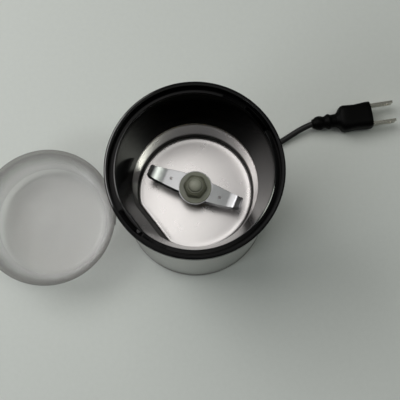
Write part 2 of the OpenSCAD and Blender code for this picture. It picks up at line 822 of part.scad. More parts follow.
// Half of the blade's outline, from the hub out along +X
module wing_outline(reach) {
    root = blade_root_w / 2;
    tip = blade_tip_w / 2;
    polygon([
        [0, -root], [nut_flange_d / 2, -root], [reach, tip_shift - tip],
        [reach, tip_shift + tip], [wing_hole_at, root - 0.5], [nut_flange_d / 2, root], [0, root]
    ]);
}

module wing() {
    reach = blade_l / 2 - tip_l * cos(tip_angle);
    translate([0, 0, blade_z]) linear_extrude(height = blade_t) wing_outline(reach);
    translate([reach, 0, blade_z]) rotate([0, -tip_angle, 0])
        translate([-seat, tip_shift - blade_tip_w / 2 + slip, 0])
            cube([tip_l + seat, blade_tip_w - 2 * slip, blade_t]);
}

module blade() {
    color("lightsteelblue") rotate([0, 0, blade_az]) difference() {
        union() {
            bar(nut_flange_d / 2 + 0.6, blade_z, blade_z + blade_t);
            wing();
            rotate([0, 0, 180]) wing();
        }
        bar(shaft_r, blade_z - eps, blade_z + blade_t + eps);
        for (s = [0, 180]) bar(wing_hole_d / 2, blade_z - eps, blade_z + blade_t + eps, wing_hole_at, s);
    }
}

module blade_nut() {
    hex_z = nut_z0 + nut_flange_t;
    color("#7a7868") rotate([0, 0, blade_az + 13]) difference() {
        union() {
            bar(nut_flange_d / 2, nut_z0, hex_z);
            translate([0, 0, hex_z]) cylinder(r = nut_flats / sqrt(3), h = nut_h, $fn = 6);
            bar(dome_r + 0.8, hex_z + nut_h, hex_z + nut_h + 1);
            translate([0, 0, hex_z + nut_h]) intersection() {
                translate([0, 0, -dome_r * 0.1]) sphere(r = dome_r);
                translate([-dome_r, -dome_r, 0]) cube([2 * dome_r, 2 * dome_r, 2 * dome_r]);
            }
        }
        bar(shaft_r, nut_z0 - eps, hex_z + nut_h - 0.6);
    }
}

// ---------- lid switch ----------

module at_pin() {
    rotate([0, 0, pin_az]) translate([pin_at, 0, 0]) children();
}

// Pin with a foot that reaches in over the switch's button
module switch_pin() {
    color("#e6e2d6") at_pin() {
        translate([0, 0, pin_z0]) cylinder(r = pin_r, h = pin_z1 - pin_z0);
        translate([0, 0, spring_z1 + run]) cylinder(r = pin_collar_r, h = pin_collar_t);
        translate([switch_at - pin_at - button_r, -pin_r, pin_z0])
            cube([pin_at - switch_at + button_r, 2 * pin_r, pin_foot_t]);
    }
}

module switch_button() {
    color("#b03a2e") rotate([0, 0, pin_az]) translate([switch_at, 0, switch_z1 - button_in])
        cylinder(r = button_r, h = pin_z0 - switch_z1 + button_in);
}

spring_turns = 7;
spring_wire_r = 0.2;
spring_r = pin_r + run + spring_wire_r + 0.1;
spring_steps = 12;

module pin_spring() {
    rise = spring_z1 - spring_z0 - 2 * spring_wire_r - run;
    steps = spring_turns * spring_steps;
    path = [for (i = [0:steps])
        [spring_r * cos(360 * i / spring_steps), spring_r * sin(360 * i / spring_steps),
            spring_z0 + spring_wire_r + run + rise * i / steps]];
    color("silver") at_pin() tube(path, spring_wire_r, 6);
}

module switch_body() {
    color("#2a2a2c") rotate([0, 0, pin_az]) difference() {
        translate([switch_at - switch_t / 2, -switch_l / 2, switch_z0]) cube([switch_t, switch_l, switch_h]);
        for (y = [-switch_l / 3, switch_l / 3]) translate([switch_at - switch_t, y, switch_z0 + 3])
            rotate([0, 90, 0]) cylinder(r = 1.2, h = 2 * switch_t);
        translate([switch_at, 0, switch_z1 - button_in - pin_travel - seat])
            cylinder(r = button_r + run, h = button_in + pin_travel + seat + eps);
    }
}

module switch_bracket() {
    color("#c8c8c8") rotate([0, 0, pin_az])
        translate([switch_at - switch_t / 2, -switch_l / 2 + 2, plate_z1])
            cube([switch_t, switch_l - 4, switch_z0 - plate_z1]);
}

// Insulated wires inside the drum, from the cord's end to the switch and the coil
wire_r = 0.9;
function stop(r, az, z) = [r * cos(az), r * sin(az), z];
function from_pin(x, y, z) = [x * cos(pin_az) - y * sin(pin_az), x * sin(pin_az) + y * cos(pin_az), z];
function level(z0, z1, share) = z0 + (z1 - z0) * share;

module supply_wire() {
    wire_out = drum_in - 3.4;
    color("#7a3b1e") tube([
        stop(hub_r - 3.8, 263, gland_z + 1),
        stop(hub_r - 4.5, 270, deck_z0 - 1),
        stop(hub_r - 4.9, 274.6, deck_z1 - 0.5),
        stop(hub_r - 4, 272.2, level(deck_z1, plate_z0, 0.12)),
        stop(hub_r + 0.2, 264.3, level(deck_z1, plate_z0, 0.26)),
        stop(wire_out - 4.7, 255.6, level(deck_z1, plate_z0, 0.42)),
        stop(wire_out - 0.7, 251, level(deck_z1, plate_z0, 0.6)),
        stop(wire_out, 250, level(deck_z1, plate_z0, 0.82)),
        stop(wire_out, 249.7, plate_z1 - 0.8),
        from_pin(switch_at, switch_l / 2 + 4, switch_z0 + 1),
        from_pin(switch_at, switch_l / 2 + 3, switch_z0 + 4),
        from_pin(switch_at, switch_l / 2 + 1.6, switch_z0 + 5.6),
        from_pin(switch_at, switch_l / 2 + slip, switch_z0 + 5.6)
    ], wire_r, 6);
}

module motor_wire() {
    color("#3a5a8a") tube([
        stop(hub_r - 5.2, 262, gland_z - 1),
        stop(hub_r - 5.8, 271.2, gland_z - 0.4),
        stop(hub_r - 5.3, 280.5, gland_z + 1.6),
        stop(hub_r - 4.2, 285.8, deck_z1 + 0.5),
        stop(hub_r - 3.9, 286.9, level(deck_z1, stack_z0, 0.31)),
        stop(hub_r - 4.2, 284.4, level(deck_z1, stack_z0, 0.59)),
        stop(hub_r - 5, 277.8, level(deck_z1, stack_z0, 0.82)),
        stop(hub_r - 6.4, 272.9, stack_z0 - 1.6),
        stop(slot_out + 1.1, 270.5, stack_z0 - 1.4),
        stop(slot_out - seat + slip, 270, stack_z0 - 1.4)
    ], wire_r, 6);
}

// ---------- cord and plug ----------

// Gland and first stretch, by distance and direction from the axis
function round_route(stops) = [for (p = stops) stop(p[0], p[1], gland_z)];
gland_path = round_route([
    [hub_r - 4, gland_az + 13], [hub_r - 1.5, gland_az + 6], [hub_r + 0.4, gland_az - 1], [hub_r + 1.2, gland_az - 8]
]);
lead_out = hub_r + 1.2;
lead_end = wind_in + cord_d / 2;
lead_turns = [[0, -8], [0.19, -15], [0.38, -23], [0.6, -32], [0.79, -41], [0.94, -50], [1, -59], [1, -69]];
lead_in_path = round_route([for (p = lead_turns) [level(lead_out, lead_end, p[0]), gland_az + p[1]]]);

module cord_gland() {
    color("#151515") tube(gland_path, [3.2, 3.2, 2.5, 2.4], 12);
}

module cord_lead_in() {
    color("#151515") tube(lead_in_path, cord_d / 2, 8);
}

module cord_winding() {
    color("#151515") ring(wind_in, wind_out, wind_z0, wind_z1);
}

// Free stretch, from the last turn through the slot to the plug
under_base = [
    [-20, -6, 5.2], [-13, -2.4, 4.2], [-6, -0.4, 3], [2, 0.1, 2.3],
    [10, 0.1, 2.05], [18, 0.1, 2.05], [26, 0.1, 2.05]
];
past_base = [
    [-11.5, 0.6, 2.05], [-3.5, 2.2, 2.05], [4.5, 5.1, 2.05], [12.5, 9.2, 2.3],
    [18.5, 12.8, 3], [24.5, 16.4, 4.2], [29.5, 18.9, 5.4], [33.5, 20.4, 6.4]
];
cord_path = concat(
    [for (p = under_base) [p[0], notch_y + p[1], p[2]]],
    [for (p = past_base) [base_r + p[0], notch_y + p[1], p[2]]]
);

module cord_free() {
    color("#151515") tube(cord_path, cord_d / 2, 8);
}

plug_at = cord_path[len(cord_path) - 1];
plug_az = 9;
relief_l = 17;
plug_l = 23;
plug_w = 18;
plug_t = 13.6;

module at_plug() {
    translate(plug_at) rotate([0, 0, plug_az]) children();
}

module plug_relief() {
    color("#121212") at_plug() rotate([0, 90, 0]) {
        cylinder(r1 = 3.6, r2 = 5, h = relief_l);
        for (i = [0:3]) translate([0, 0, 2 + i * 4]) cylinder(r = 4.5 + i * 0.3, h = 1.8);
    }
}

module plug_body() {
    color("#121212") at_plug() translate([relief_l, 0, plug_t / 2 + 0.2 - plug_at[2]]) hull() {
        translate([0.1, 0, 0]) rotate([0, 90, 0]) cylinder(r = 4.8, h = 0.2, $fn = 32);
        for (x = [7, plug_l - 3]) for (s = [-1, 1]) for (t = [-1, 1])
            translate([x, s * (plug_w / 2 - 3), t * (plug_t / 2 - 3)]) sphere(r = 3, $fn = 24);
    }
}

module plug_blades() {
    color("silver") at_plug() for (s = [-1, 1])
        translate([relief_l + plug_l, s * 6.35 - 0.75, plug_t / 2 + 0.2 - plug_at[2] - 3.2]) difference() {
            cube([16, 1.5, 6.4]);
            translate([12.5, -eps, 3.2]) rotate([-90, 0, 0]) cylinder(r = 1.5, h = 1.5 + 2 * eps);
        }
}

// ---------- lid ----------

module lid_outline(inset) {
    r = crown_r - inset;
    corner = lid_corner - inset;
    lean = atan((lid_r - crown_r) / (lid_h - lid_corner));
    polygon(concat(
        [[0, inset]],
        arc(r - corner + lid_corner * 0.5, inset + corner, corner, -90, -lean, 8),
        [[lid_r - inset, lid_h], [lid_r - inset, lid_h + inset], [0, lid_h + inset]]
    ));
}

module lid() {
    color([0.8, 0.85, 0.85, 0.4]) translate([lid_x, lid_y, 0]) difference() {
        union() {
            intersection() {
                rotate_extrude() lid_outline(0);
                cylinder(r = 2 * lid_r, h = lid_h);
            }
            ring(lid_r - lid_t, lid_r + 0.5, lid_h - 2.4, lid_h);
            for (a = [0, 180]) rotate([0, 0, a]) {
                sector(lid_r - 1, lid_r + 1.2, lid_h - 2, lid_h, -7, 7);
            }
        }
        rotate_extrude() lid_outline(lid_t);
    }
}

outer_shell();
top_collar();
grinding_bowl();
bowl_gasket();
base_moulding();
base_cover();
cover_screws();
foot_pads();
centre_pad();
tie_screws();
lower_spacers();
upper_spacers();
mid_plate();
mount_screws();
motor_dampers();
motor_top_bracket();
motor_bottom_bracket();
motor_bolts();
stator_core();
field_coils();
top_bearing();
bottom_bearing();
shaft_seal();
brush_holders();
brushes();
brush_springs();
drive_shaft();
armature_core();
armature_windings();
commutator();
cooling_fan();
blade_boss();
blade();
blade_nut();
switch_pin();
pin_spring();
switch_button();
switch_body();
switch_bracket();
supply_wire();
motor_wire();
cord_gland();
cord_lead_in();
cord_winding();
cord_free();
plug_relief();
plug_body();
plug_blades();
lid();
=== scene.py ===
import math

import bpy
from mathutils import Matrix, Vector


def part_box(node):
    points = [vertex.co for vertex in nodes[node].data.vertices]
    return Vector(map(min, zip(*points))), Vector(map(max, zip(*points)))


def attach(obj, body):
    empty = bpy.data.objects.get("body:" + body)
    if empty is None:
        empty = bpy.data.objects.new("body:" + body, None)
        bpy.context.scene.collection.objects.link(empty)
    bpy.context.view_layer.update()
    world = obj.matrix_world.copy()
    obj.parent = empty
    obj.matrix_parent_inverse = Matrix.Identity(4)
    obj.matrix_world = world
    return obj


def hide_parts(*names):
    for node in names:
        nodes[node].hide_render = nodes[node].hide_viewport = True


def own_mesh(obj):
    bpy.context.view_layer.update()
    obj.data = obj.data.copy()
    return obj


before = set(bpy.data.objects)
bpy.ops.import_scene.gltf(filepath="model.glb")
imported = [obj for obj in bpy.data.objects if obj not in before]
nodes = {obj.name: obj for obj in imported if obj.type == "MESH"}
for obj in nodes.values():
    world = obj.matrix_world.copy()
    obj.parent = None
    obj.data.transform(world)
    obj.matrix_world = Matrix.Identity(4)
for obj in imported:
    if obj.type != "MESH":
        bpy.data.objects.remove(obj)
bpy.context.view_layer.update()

MM = 0.001
scene = bpy.context.scene

# Direction, in degrees, of the bowl's flat side. The bowl's material and the shapes both use it
FLAT_AZ = 218

# ---------------------------------------------------------------- materials


def polar(r, az, z):
    """A point from its distance and direction, in degrees."""
    return (r * math.cos(math.radians(az)), r * math.sin(math.radians(az)), z)


def srgb(code):
    """Hex colour to linear RGBA."""
    parts = [int(code[i:i + 2], 16) / 255 for i in (1, 3, 5)]
    return [c / 12.92 if c <= 0.04045 else ((c + 0.055) / 1.055) ** 2.4 for c in parts] + [1.0]


def add(tree, kind, inputs=None, **settings):
    """One node with its settings. An input takes a value, a socket or a node, whose live output is linked."""
    node = tree.nodes.new(kind)
    for key, value in settings.items():
        setattr(node, key, value)
    for key, value in (inputs or {}).items():
        if isinstance(value, bpy.types.Node):
            value = next(out for out in value.outputs if out.enabled)
        if isinstance(value, bpy.types.NodeSocket):
            tree.links.new(value, node.inputs[key])
        else:
            node.inputs[key].default_value = value
    return node


def begun(name):
    """A new material, its empty tree and the piece's own coordinates in metres."""
    material = bpy.data.materials.new(name)
    material.use_nodes = True
    tree = material.node_tree
    tree.nodes.clear()
    return material, tree, add(tree, "ShaderNodeTexCoord").outputs["Object"]


def finished(material, tree, shader):
    """Ends a material with its shader."""
    add(tree, "ShaderNodeOutputMaterial", {"Surface": shader})
    return material


def plastic(name, dark, light, rough, grain_mm, bump_mm=0.0, shine=0.5):
    """Moulded plastic or rubber: two close tones in 12 mm patches, and a grain in its gloss and surface."""
    material, tree, here = begun(name)
    patches = add(tree, "ShaderNodeTexNoise", {"Vector": here, "Scale": 1 / (12 * MM), "Detail": 3.0})
    grain = add(tree, "ShaderNodeTexNoise",
                {"Vector": here, "Scale": 1 / (grain_mm * MM), "Detail": 2.0, "Roughness": 0.6})
    surface = {
        "Base Color": add(tree, "ShaderNodeMix",
                          {0: patches, 6: srgb(dark), 7: srgb(light)}, data_type="RGBA"),
        "Roughness": add(tree, "ShaderNodeMapRange",
                         {"Value": grain, "To Min": rough[0], "To Max": rough[1]}),
        "IOR": 1.5,
        "Specular IOR Level": shine,
    }
    if bump_mm:
        surface["Normal"] = add(tree, "ShaderNodeBump",
                                {"Height": grain, "Strength": 0.6, "Distance": bump_mm * MM})
    return finished(material, tree, add(tree, "ShaderNodeBsdfPrincipled", surface))


def metal(name, dark, light, rough, stretch, line_mm, bump_mm):
    """Bare metal: close tones in 9 mm patches, and tool lines. With no stretch they run round the axis."""
    material, tree, here = begun(name)
    patches = add(tree, "ShaderNodeTexNoise", {"Vector": here, "Scale": 1 / (9 * MM), "Detail": 3.0})
    if stretch is None:
        split = add(tree, "ShaderNodeSeparateXYZ", {0: here})
        level = add(tree, "ShaderNodeCombineXYZ", {0: split.outputs[0], 1: split.outputs[1]})
        reach = add(tree, "ShaderNodeVectorMath", {0: level}, operation="LENGTH")
        along = add(tree, "ShaderNodeCombineXYZ", {0: reach, 2: split.outputs[2]})
    else:
        along = add(tree, "ShaderNodeMapping", {"Vector": here, "Scale": stretch})
    lines = add(tree, "ShaderNodeTexNoise",
                {"Vector": along, "Scale": 1 / (line_mm * MM), "Detail": 2.0, "Roughness": 0.6})
    return finished(material, tree, add(tree, "ShaderNodeBsdfPrincipled", {
        "Base Color": add(tree, "ShaderNodeMix",
                          {0: patches, 6: srgb(dark), 7: srgb(light)}, data_type="RGBA"),
        "Metallic": 1.0,
        "Roughness": add(tree, "ShaderNodeMapRange",
                         {"Value": lines, "To Min": rough[0], "To Max": rough[1]}),
        "Normal": add(tree, "ShaderNodeBump", {"Height": lines, "Strength": 0.35, "Distance": bump_mm * MM}),
    }))


def bowl_steel(name, dark, light, rough, shade_tone):
    """Bright pressed steel, with a dark matt layer of painted shade.

    The painted shade is full low on the wall and on the flat side. Higher up it fades to the back and to the
    right.
    """
    material, tree, here = begun(name)
    patches = add(tree, "ShaderNodeTexNoise", {"Vector": here, "Scale": 1 / (9 * MM), "Detail": 3.0})
    specks = add(tree, "ShaderNodeTexNoise",
                 {"Vector": here, "Scale": 1 / (1.1 * MM), "Detail": 3.0, "Roughness": 0.65})
    split = add(tree, "ShaderNodeSeparateXYZ", {0: here})
    level = add(tree, "ShaderNodeCombineXYZ", {0: split.outputs[0], 1: split.outputs[1]})
    reach = add(tree, "ShaderNodeVectorMath", {0: level}, operation="LENGTH")
    to_flat = add(tree, "ShaderNodeVectorMath",
                  {0: level, 1: polar(1.0, FLAT_AZ, 0.0)}, operation="DOT_PRODUCT")
    # Painted shade: a dark matt layer low on the wall and on the flat side, and higher up towards the front
    # and the left
    low = add(tree, "ShaderNodeMapRange",
              {"Value": split.outputs[2], "From Min": 63.5 * MM, "From Max": 60.5 * MM})
    front = add(tree, "ShaderNodeMapRange",
                {"Value": split.outputs[1], "From Min": 12 * MM, "From Max": -4 * MM, "To Max": 0.85})
    left = add(tree, "ShaderNodeMapRange",
               {"Value": split.outputs[0], "From Min": 6 * MM, "From Max": -10 * MM, "To Min": 0.4})
    higher = add(tree, "ShaderNodeMath", {0: front, 1: left}, operation="MULTIPLY")
    on_wall = add(tree, "ShaderNodeMapRange",
                  {"Value": reach, "From Min": 33.4 * MM, "From Max": 33.7 * MM})
    on_flat = add(tree, "ShaderNodeMapRange",
                  {"Value": to_flat, "From Min": 30.0 * MM, "From Max": 30.3 * MM})
    where = add(tree, "ShaderNodeMath", {0: on_wall, 1: on_flat}, operation="MAXIMUM")
    thick = add(tree, "ShaderNodeMath", {0: low, 1: higher}, operation="MAXIMUM")
    thick = add(tree, "ShaderNodeMath", {0: thick, 1: on_flat}, operation="MAXIMUM")
    painted_shade = add(tree, "ShaderNodeMath", {0: where, 1: thick}, operation="MULTIPLY")
    speckled = add(tree, "ShaderNodeMapRange", {"Value": specks, "To Min": 0.95})
    painted_shade = add(tree, "ShaderNodeMath", {0: painted_shade, 1: speckled}, operation="MULTIPLY")
    steel = add(tree, "ShaderNodeMix", {0: patches, 6: srgb(dark), 7: srgb(light)}, data_type="RGBA")
    steel_rough = add(tree, "ShaderNodeMapRange", {"Value": patches, "To Min": rough[0], "To Max": rough[1]})
    return finished(material, tree, add(tree, "ShaderNodeBsdfPrincipled", {
        "Base Color": add(tree, "ShaderNodeMix", {0: painted_shade, 6: steel, 7: srgb(shade_tone)}, data_type="RGBA"),
        "Metallic": add(tree, "ShaderNodeMapRange", {"Value": painted_shade, "To Min": 1.0, "To Max": 0.0}),
        "Roughness": add(tree, "ShaderNodeMapRange", {"Value": painted_shade, "To Min": steel_rough, "To Max": 0.5}),
        "Specular IOR Level": 0.1,
    }))


def clear_plastic(name, tint, brim_shade_tone, rough):
    """Clear moulded plastic, a little milky: hazy 15 mm patches, scratches, and painted shade that darkens it
    towards the thick brim.
    """
    material, tree, here = begun(name)
    along = add(tree, "ShaderNodeMapping", {"Vector": here, "Scale": (1, 9, 1)})
    scratches = add(tree, "ShaderNodeTexNoise",
                    {"Vector": along, "Scale": 1 / (0.6 * MM), "Detail": 3.0, "Roughness": 0.7})
    haze = add(tree, "ShaderNodeTexNoise", {"Vector": here, "Scale": 1 / (15 * MM)})
    height = add(tree, "ShaderNodeSeparateXYZ", {0: here}).outputs[2]
    # Painted shade: darker towards the brim
    brim = add(tree, "ShaderNodeMapRange",
               {"Value": height, "From Min": 9 * MM, "From Max": 26.5 * MM}, interpolation_type="SMOOTHSTEP")
    milky = add(tree, "ShaderNodeMix", {0: haze, 6: srgb(tint[0]), 7: srgb(tint[1])}, data_type="RGBA")
    return finished(material, tree, add(tree, "ShaderNodeBsdfPrincipled", {
        "Base Color": add(tree, "ShaderNodeMix", {0: brim, 6: milky, 7: srgb(brim_shade_tone)}, data_type="RGBA"),
        "Roughness": add(tree, "ShaderNodeMapRange",
                         {"Value": scratches, "To Min": rough[0], "To Max": rough[1]}),
        "IOR": 1.45,
        "Transmission Weight": 0.78,
        "Alpha": 0.6,
        "Normal": add(tree, "ShaderNodeBump", {"Height": haze, "Strength": 0.15, "Distance": 0.05 * MM}),
    }))


def nut_plastic(name, pale, side_shade_tone, rough):
    """Olive moulded plastic: pale on the flange and the dome, with painted shade on the hexagon's sides."""
    material, tree, here = begun(name)
    grain = add(tree, "ShaderNodeTexNoise",
                {"Vector": here, "Scale": 1 / (0.5 * MM), "Detail": 2.0, "Roughness": 0.6})
    patches = add(tree, "ShaderNodeTexNoise", {"Vector": here, "Scale": 1 / (6 * MM), "Detail": 3.0})
    height = add(tree, "ShaderNodeSeparateXYZ", {0: here}).outputs[2]
    over_flange = add(tree, "ShaderNodeMapRange",
                      {"Value": height, "From Min": 70.6 * MM, "From Max": 71.4 * MM})
    under_dome = add(tree, "ShaderNodeMapRange",
                     {"Value": height, "From Min": 78.4 * MM, "From Max": 76.2 * MM})
    # Painted shade on the hexagon's sides, between the flange and the dome
    sides = add(tree, "ShaderNodeMath", {0: over_flange, 1: under_dome}, operation="MULTIPLY")
    uneven = add(tree, "ShaderNodeMapRange", {"Value": patches, "To Min": 0.75})
    side_shade = add(tree, "ShaderNodeMath", {0: sides, 1: uneven}, operation="MULTIPLY")
    return finished(material, tree, add(tree, "ShaderNodeBsdfPrincipled", {
        "Base Color": add(tree, "ShaderNodeMix", {0: side_shade, 6: srgb(pale), 7: srgb(side_shade_tone)}, data_type="RGBA"),
        "Roughness": add(tree, "ShaderNodeMapRange",
                         {"Value": grain, "To Min": rough[0], "To Max": rough[1]}),
        "IOR": 1.5,
        "Normal": add(tree, "ShaderNodeBump", {"Height": grain, "Strength": 0.6, "Distance": 0.006 * MM}),
    }))


MAT = {
    # Stainless sheet brushed round the drum: a soft upright highlight. Lines drawn at 0.12 mm, real 0.05 mm
    "shell": metal("stainless_steel_brushed", "#989895", "#A4A4A1", (0.24, 0.38), None, 0.12, 0.006),
    # Stainless sheet pressed and polished: a bright floor, and painted shade as a dark matt ring round it
    "bowl": bowl_steel("stainless_steel_polished", "#DCD9D8", "#E5E2E1", (0.25, 0.31), "#15120F"),
    # Hardened strip ground across its width: greyer than the bowl, so the wings show. Lines drawn at 0.8 mm
    "blade": metal("blade_steel_ground", "#A9AAAC", "#C4C5C7", (0.22, 0.38), (4, 60, 4), 0.8, 0.002),
    # Compression-moulded phenolic: a soft olive sheen, pale on the flange and the dome, with painted shade on
    # the hexagon's sides
    "nut": nut_plastic("phenolic_moulded_olive", "#A6A898", "#6E705E", (0.28, 0.42)),
    # ABS moulded in a satin tool: a deep black cone that mirrors the bright bowl only at a low angle
    "collar": plastic("abs_moulded_black_satin", "#010101", "#030303", (0.1, 0.14), 0.8, 0.001, 0.018),
    # The same ABS from a smooth part of the tool: a plainer reflection on the flat rim and the ledge
    "rim": plastic("abs_moulded_black_smooth", "#010101", "#030303", (0.14, 0.2), 0.8, 0.0, 0.12),
    # The same ABS rubbed shiny by the lid: thin bright lines along the rim's and the ledge's edges
    "lip": plastic("abs_moulded_black_rubbed", "#020202", "#050505", (0.07, 0.1), 0.8, 0.0, 0.8),
    # PP moulded with a fine texture: an even grey foot under the drum. Grain drawn at 0.35 mm, real 0.1 mm
    "base": plastic("pp_moulded_fine_texture", "#7E7E7A", "#8A8A86", (0.42, 0.56), 0.35, 0.02),
    # Glass-filled PA straight from the tool: dark, dry and slightly mottled
    "plate": plastic("pa_moulded_matt", "#2A2B2E", "#34353A", (0.45, 0.6), 0.5, 0.02),
    # Soft moulded rubber: near black, with almost no highlight and a dusty grain
    "rubber": plastic("rubber_moulded", "#191919", "#232323", (0.55, 0.75), 0.3, 0.03),
    # PVC extruded over the cores: black with a dull line of light along the cord
    "cord": plastic("pvc_extruded_black", "#0B0B0B", "#121212", (0.4, 0.55), 0.4, 0.01, 0.3),
    # PVC moulded over the cord's end: a deeper black than the cord, with soft rounded edges
    "plug": plastic("pvc_moulded_black", "#010101", "#030303", (0.4, 0.55), 0.5, 0.012, 0.06),
    # PBT in its natural colour: warm off-white blades on the fan
    "fan": plastic("pbt_moulded_natural", "#CFCBBE", "#DAD7CC", (0.35, 0.5), 0.6, 0.01),
    # POM, slightly waxy: a dark grey dot at the rim where the lid presses, hardly lighter than the collar
    "pin": plastic("pom_moulded_dark_grey", "#2C2C2E", "#38383A", (0.25, 0.4), 0.5, 0.008),
    # POM coloured through: a small red button on the switch
    "button": plastic("pom_moulded_red", "#8E2A20", "#9C3226", (0.3, 0.45), 0.5, 0.008),
    # PBT moulded in a lightly textured tool: a plain charcoal switch case
    "switch": plastic("pbt_moulded_black", "#1D1D20", "#26262A", (0.35, 0.5), 0.5, 0.015),
    # Carbon pressed and fired: a soot grey that doesn't shine
    "carbon": plastic("carbon_pressed", "#1F1F20", "#2B2B2C", (0.55, 0.7), 0.2, 0.02),
    # PVC insulation, brown for the supply and blue for the motor: the two wires tell apart
    "brown": plastic("pvc_extruded_brown", "#5A2E1A", "#693820", (0.35, 0.5), 0.5, 0.01),
    "blue": plastic("pvc_extruded_blue", "#254A7A", "#2F588C", (0.35, 0.5), 0.5, 0.01),
    # Zinc-plated steel: a cool, slightly cloudy silver
    "screw": metal("steel_zinc_plated", "#A7A8A6", "#C0C1BE", (0.28, 0.42), (1, 1, 1), 0.4, 0.006),
    # Die-cast aluminium as it leaves the die: matt silver with a grainy skin
    "bracket": metal("aluminium_die_cast", "#A9ABAD", "#BDBFC1", (0.4, 0.55), (1, 1, 1), 0.5, 0.02),
    # Stacked electrical sheet: dark steel in level layers. The sheets are 0.5 mm, drawn coarser to show
    "core": metal("electrical_steel_laminated", "#5D5E62", "#77787C", (0.35, 0.5), (1, 1, 6), 3.0, 0.05),
    # Enamelled copper wire in turns: warm reddish brown with a ribbed surface
    "copper": metal("copper_wire_enamelled", "#8E4A2C", "#B8683F", (0.25, 0.4), (1, 1, 3), 0.9, 0.12),
    # Ground bearing steel: the brightest metal inside, with rings round the axis
    "bearing": metal("bearing_steel_ground", "#B5B6B8", "#CBCCCE", (0.12, 0.22), None, 0.3, 0.002),
    # Brass turned on a lathe: yellow, with fine rings
    "brass": metal("brass_turned", "#B39A5C", "#C9B172", (0.24, 0.36), None, 0.3, 0.006),
    # Drawn spring wire and shaft steel: a smooth mid grey
    "spring": metal("spring_steel_drawn", "#8F9092", "#A6A7A9", (0.25, 0.38), (1, 1, 1), 0.3, 0.003),
    # Brass plated with nickel: warm silver plug blades with a soft shine
    "nickel": metal("brass_nickel_plated", "#C2BEB2", "#D0CCC1", (0.18, 0.3), (1, 1, 1), 0.5, 0.004),
    # Clear PP, scuffed by use: the table shows through it, veiled, and painted shade makes its thick brim a
    # darker ring.
    # Scratches drawn at 0.6 mm to show
    "clear": clear_plastic("pp_moulded_clear", ("#F5F2F2", "#FAF8F8"), "#6F6B68", (0.14, 0.24)),
}

LOOK = {
    "shell": ["outer_shell"],
    "collar": ["top_collar"],
    "bowl": ["grinding_bowl"],
    "base": ["base_moulding", "base_cover"],
    "plate": ["mid_plate", "lower_spacers", "upper_spacers"],
    "rubber": ["foot_pads", "centre_pad", "bowl_gasket", "shaft_seal", "motor_dampers", "cord_gland"],
    "screw": ["cover_screws", "tie_screws", "mount_screws", "motor_bolts", "switch_bracket"],
    "bracket": ["motor_top_bracket", "motor_bottom_bracket"],
    "core": ["stator_core", "armature_core"],
    "copper": ["field_coils", "armature_windings", "commutator"],
    "bearing": ["top_bearing", "bottom_bearing"],
    "brass": ["brush_holders", "blade_boss"],
    "carbon": ["brushes"],
    "spring": ["brush_springs", "pin_spring", "drive_shaft"],
    "fan": ["cooling_fan"],
    "blade": ["blade"],
    "nut": ["blade_nut"],
    "pin": ["switch_pin"],
    "switch": ["switch_body"],
    "button": ["switch_button"],
    "brown": ["supply_wire"],
    "blue": ["motor_wire"],
    "cord": ["cord_lead_in", "cord_winding", "cord_free"],
    "plug": ["plug_relief", "plug_body"],
    "nickel": ["plug_blades"],
    "clear": ["lid"],
}
for look, names in LOOK.items():
    for name in names:
        nodes[name].data.materials.clear()
        nodes[name].data.materials.append(MAT[look])

# ---------------------------------------------------------------- shapes

def smoothed(mesh, degrees):
    """Smooth shading with sharp edges where faces turn by more than an angle."""
    mesh.polygons.foreach_set("use_smooth", [True] * len(mesh.polygons))
    mesh.set_sharp_from_angle(angle=math.radians(degrees))


def piece(name, verts, faces, look, smooth_deg=35):
    """A mesh from points in millimetres."""
    mesh = bpy.data.meshes.new(name)
    mesh.from_pydata([Vector(v) * MM for v in verts], [], faces)
    mesh.validate()
    smoothed(mesh, smooth_deg)
    mesh.materials.append(MAT[look])
    obj = bpy.data.objects.new(name, mesh)
    scene.collection.objects.link(obj)
    return obj


def dress(obj, body, slot, *replaced):
    """Puts a piece on its body, in place of CAD nodes where some are named."""
    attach(obj, body)
    if replaced:
        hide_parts(*replaced)
    return obj


def loop_faces(columns, rows, first=0, closed=True):
    """Quads between neighbouring columns of a closed profile."""
    count = columns if closed else columns - 1
    return [(first + i * rows + j, first + (i + 1) % columns * rows + j,
             first + (i + 1) % columns * rows + (j + 1) % rows, first + i * rows + (j + 1) % rows)
            for i in range(count) for j in range(rows)]


def rod_faces(columns, rows, first=0, turned_round=False):
    """Quads along a row of sections, and a face on each end. turned_round swaps inside and outside."""
    last = first + (columns - 1) * rows
    quads = loop_faces(columns, rows, first, closed=False)
    near, far = tuple(range(first, first + rows)), tuple(range(last, last + rows))
    if turned_round:
        return [(quad[0],) + quad[:0:-1] for quad in quads] + [near[::-1], far]
    return quads + [near, far[::-1]]


def swung(x, y, degrees):
    """A level point turned about the axis."""
    a = math.radians(degrees)
    return x * math.cos(a) - y * math.sin(a), x * math.sin(a) + y * math.cos(a)


def turned(name, profile_at, azimuths, look, smooth_deg=35):
    """A closed profile carried round the axis. profile_at(az) gives its (r, z) points, counter-clockwise."""
    verts = []
    for az in azimuths:
        verts += [polar(r, az, z) for r, z in profile_at(az)]
    rows = len(verts) // len(azimuths)
    return piece(name, verts, loop_faces(len(azimuths), rows), look, smooth_deg)


def ring_segments(name, centres, half, r0, r1, z0, z1, look):
    """Short stretches of a ring with eased edges, as one piece. half is half their width in degrees."""
    ease, steps = 0.25, 12
    section = [(r0 + ease, z0), (r1 - ease, z0), (r1, z0 + ease), (r1, z1 - ease),
               (r1 - ease, z1), (r0 + ease, z1), (r0, z1 - ease), (r0, z0 + ease)]
    verts, faces = [], []
    for centre in centres:
        faces += rod_faces(steps + 1, len(section), len(verts))
        for i in range(steps + 1):
            az = centre - half + 2 * half * i / steps
            verts += [polar(r, az, z) for r, z in section]
    return piece(name, verts, faces, look, 40)


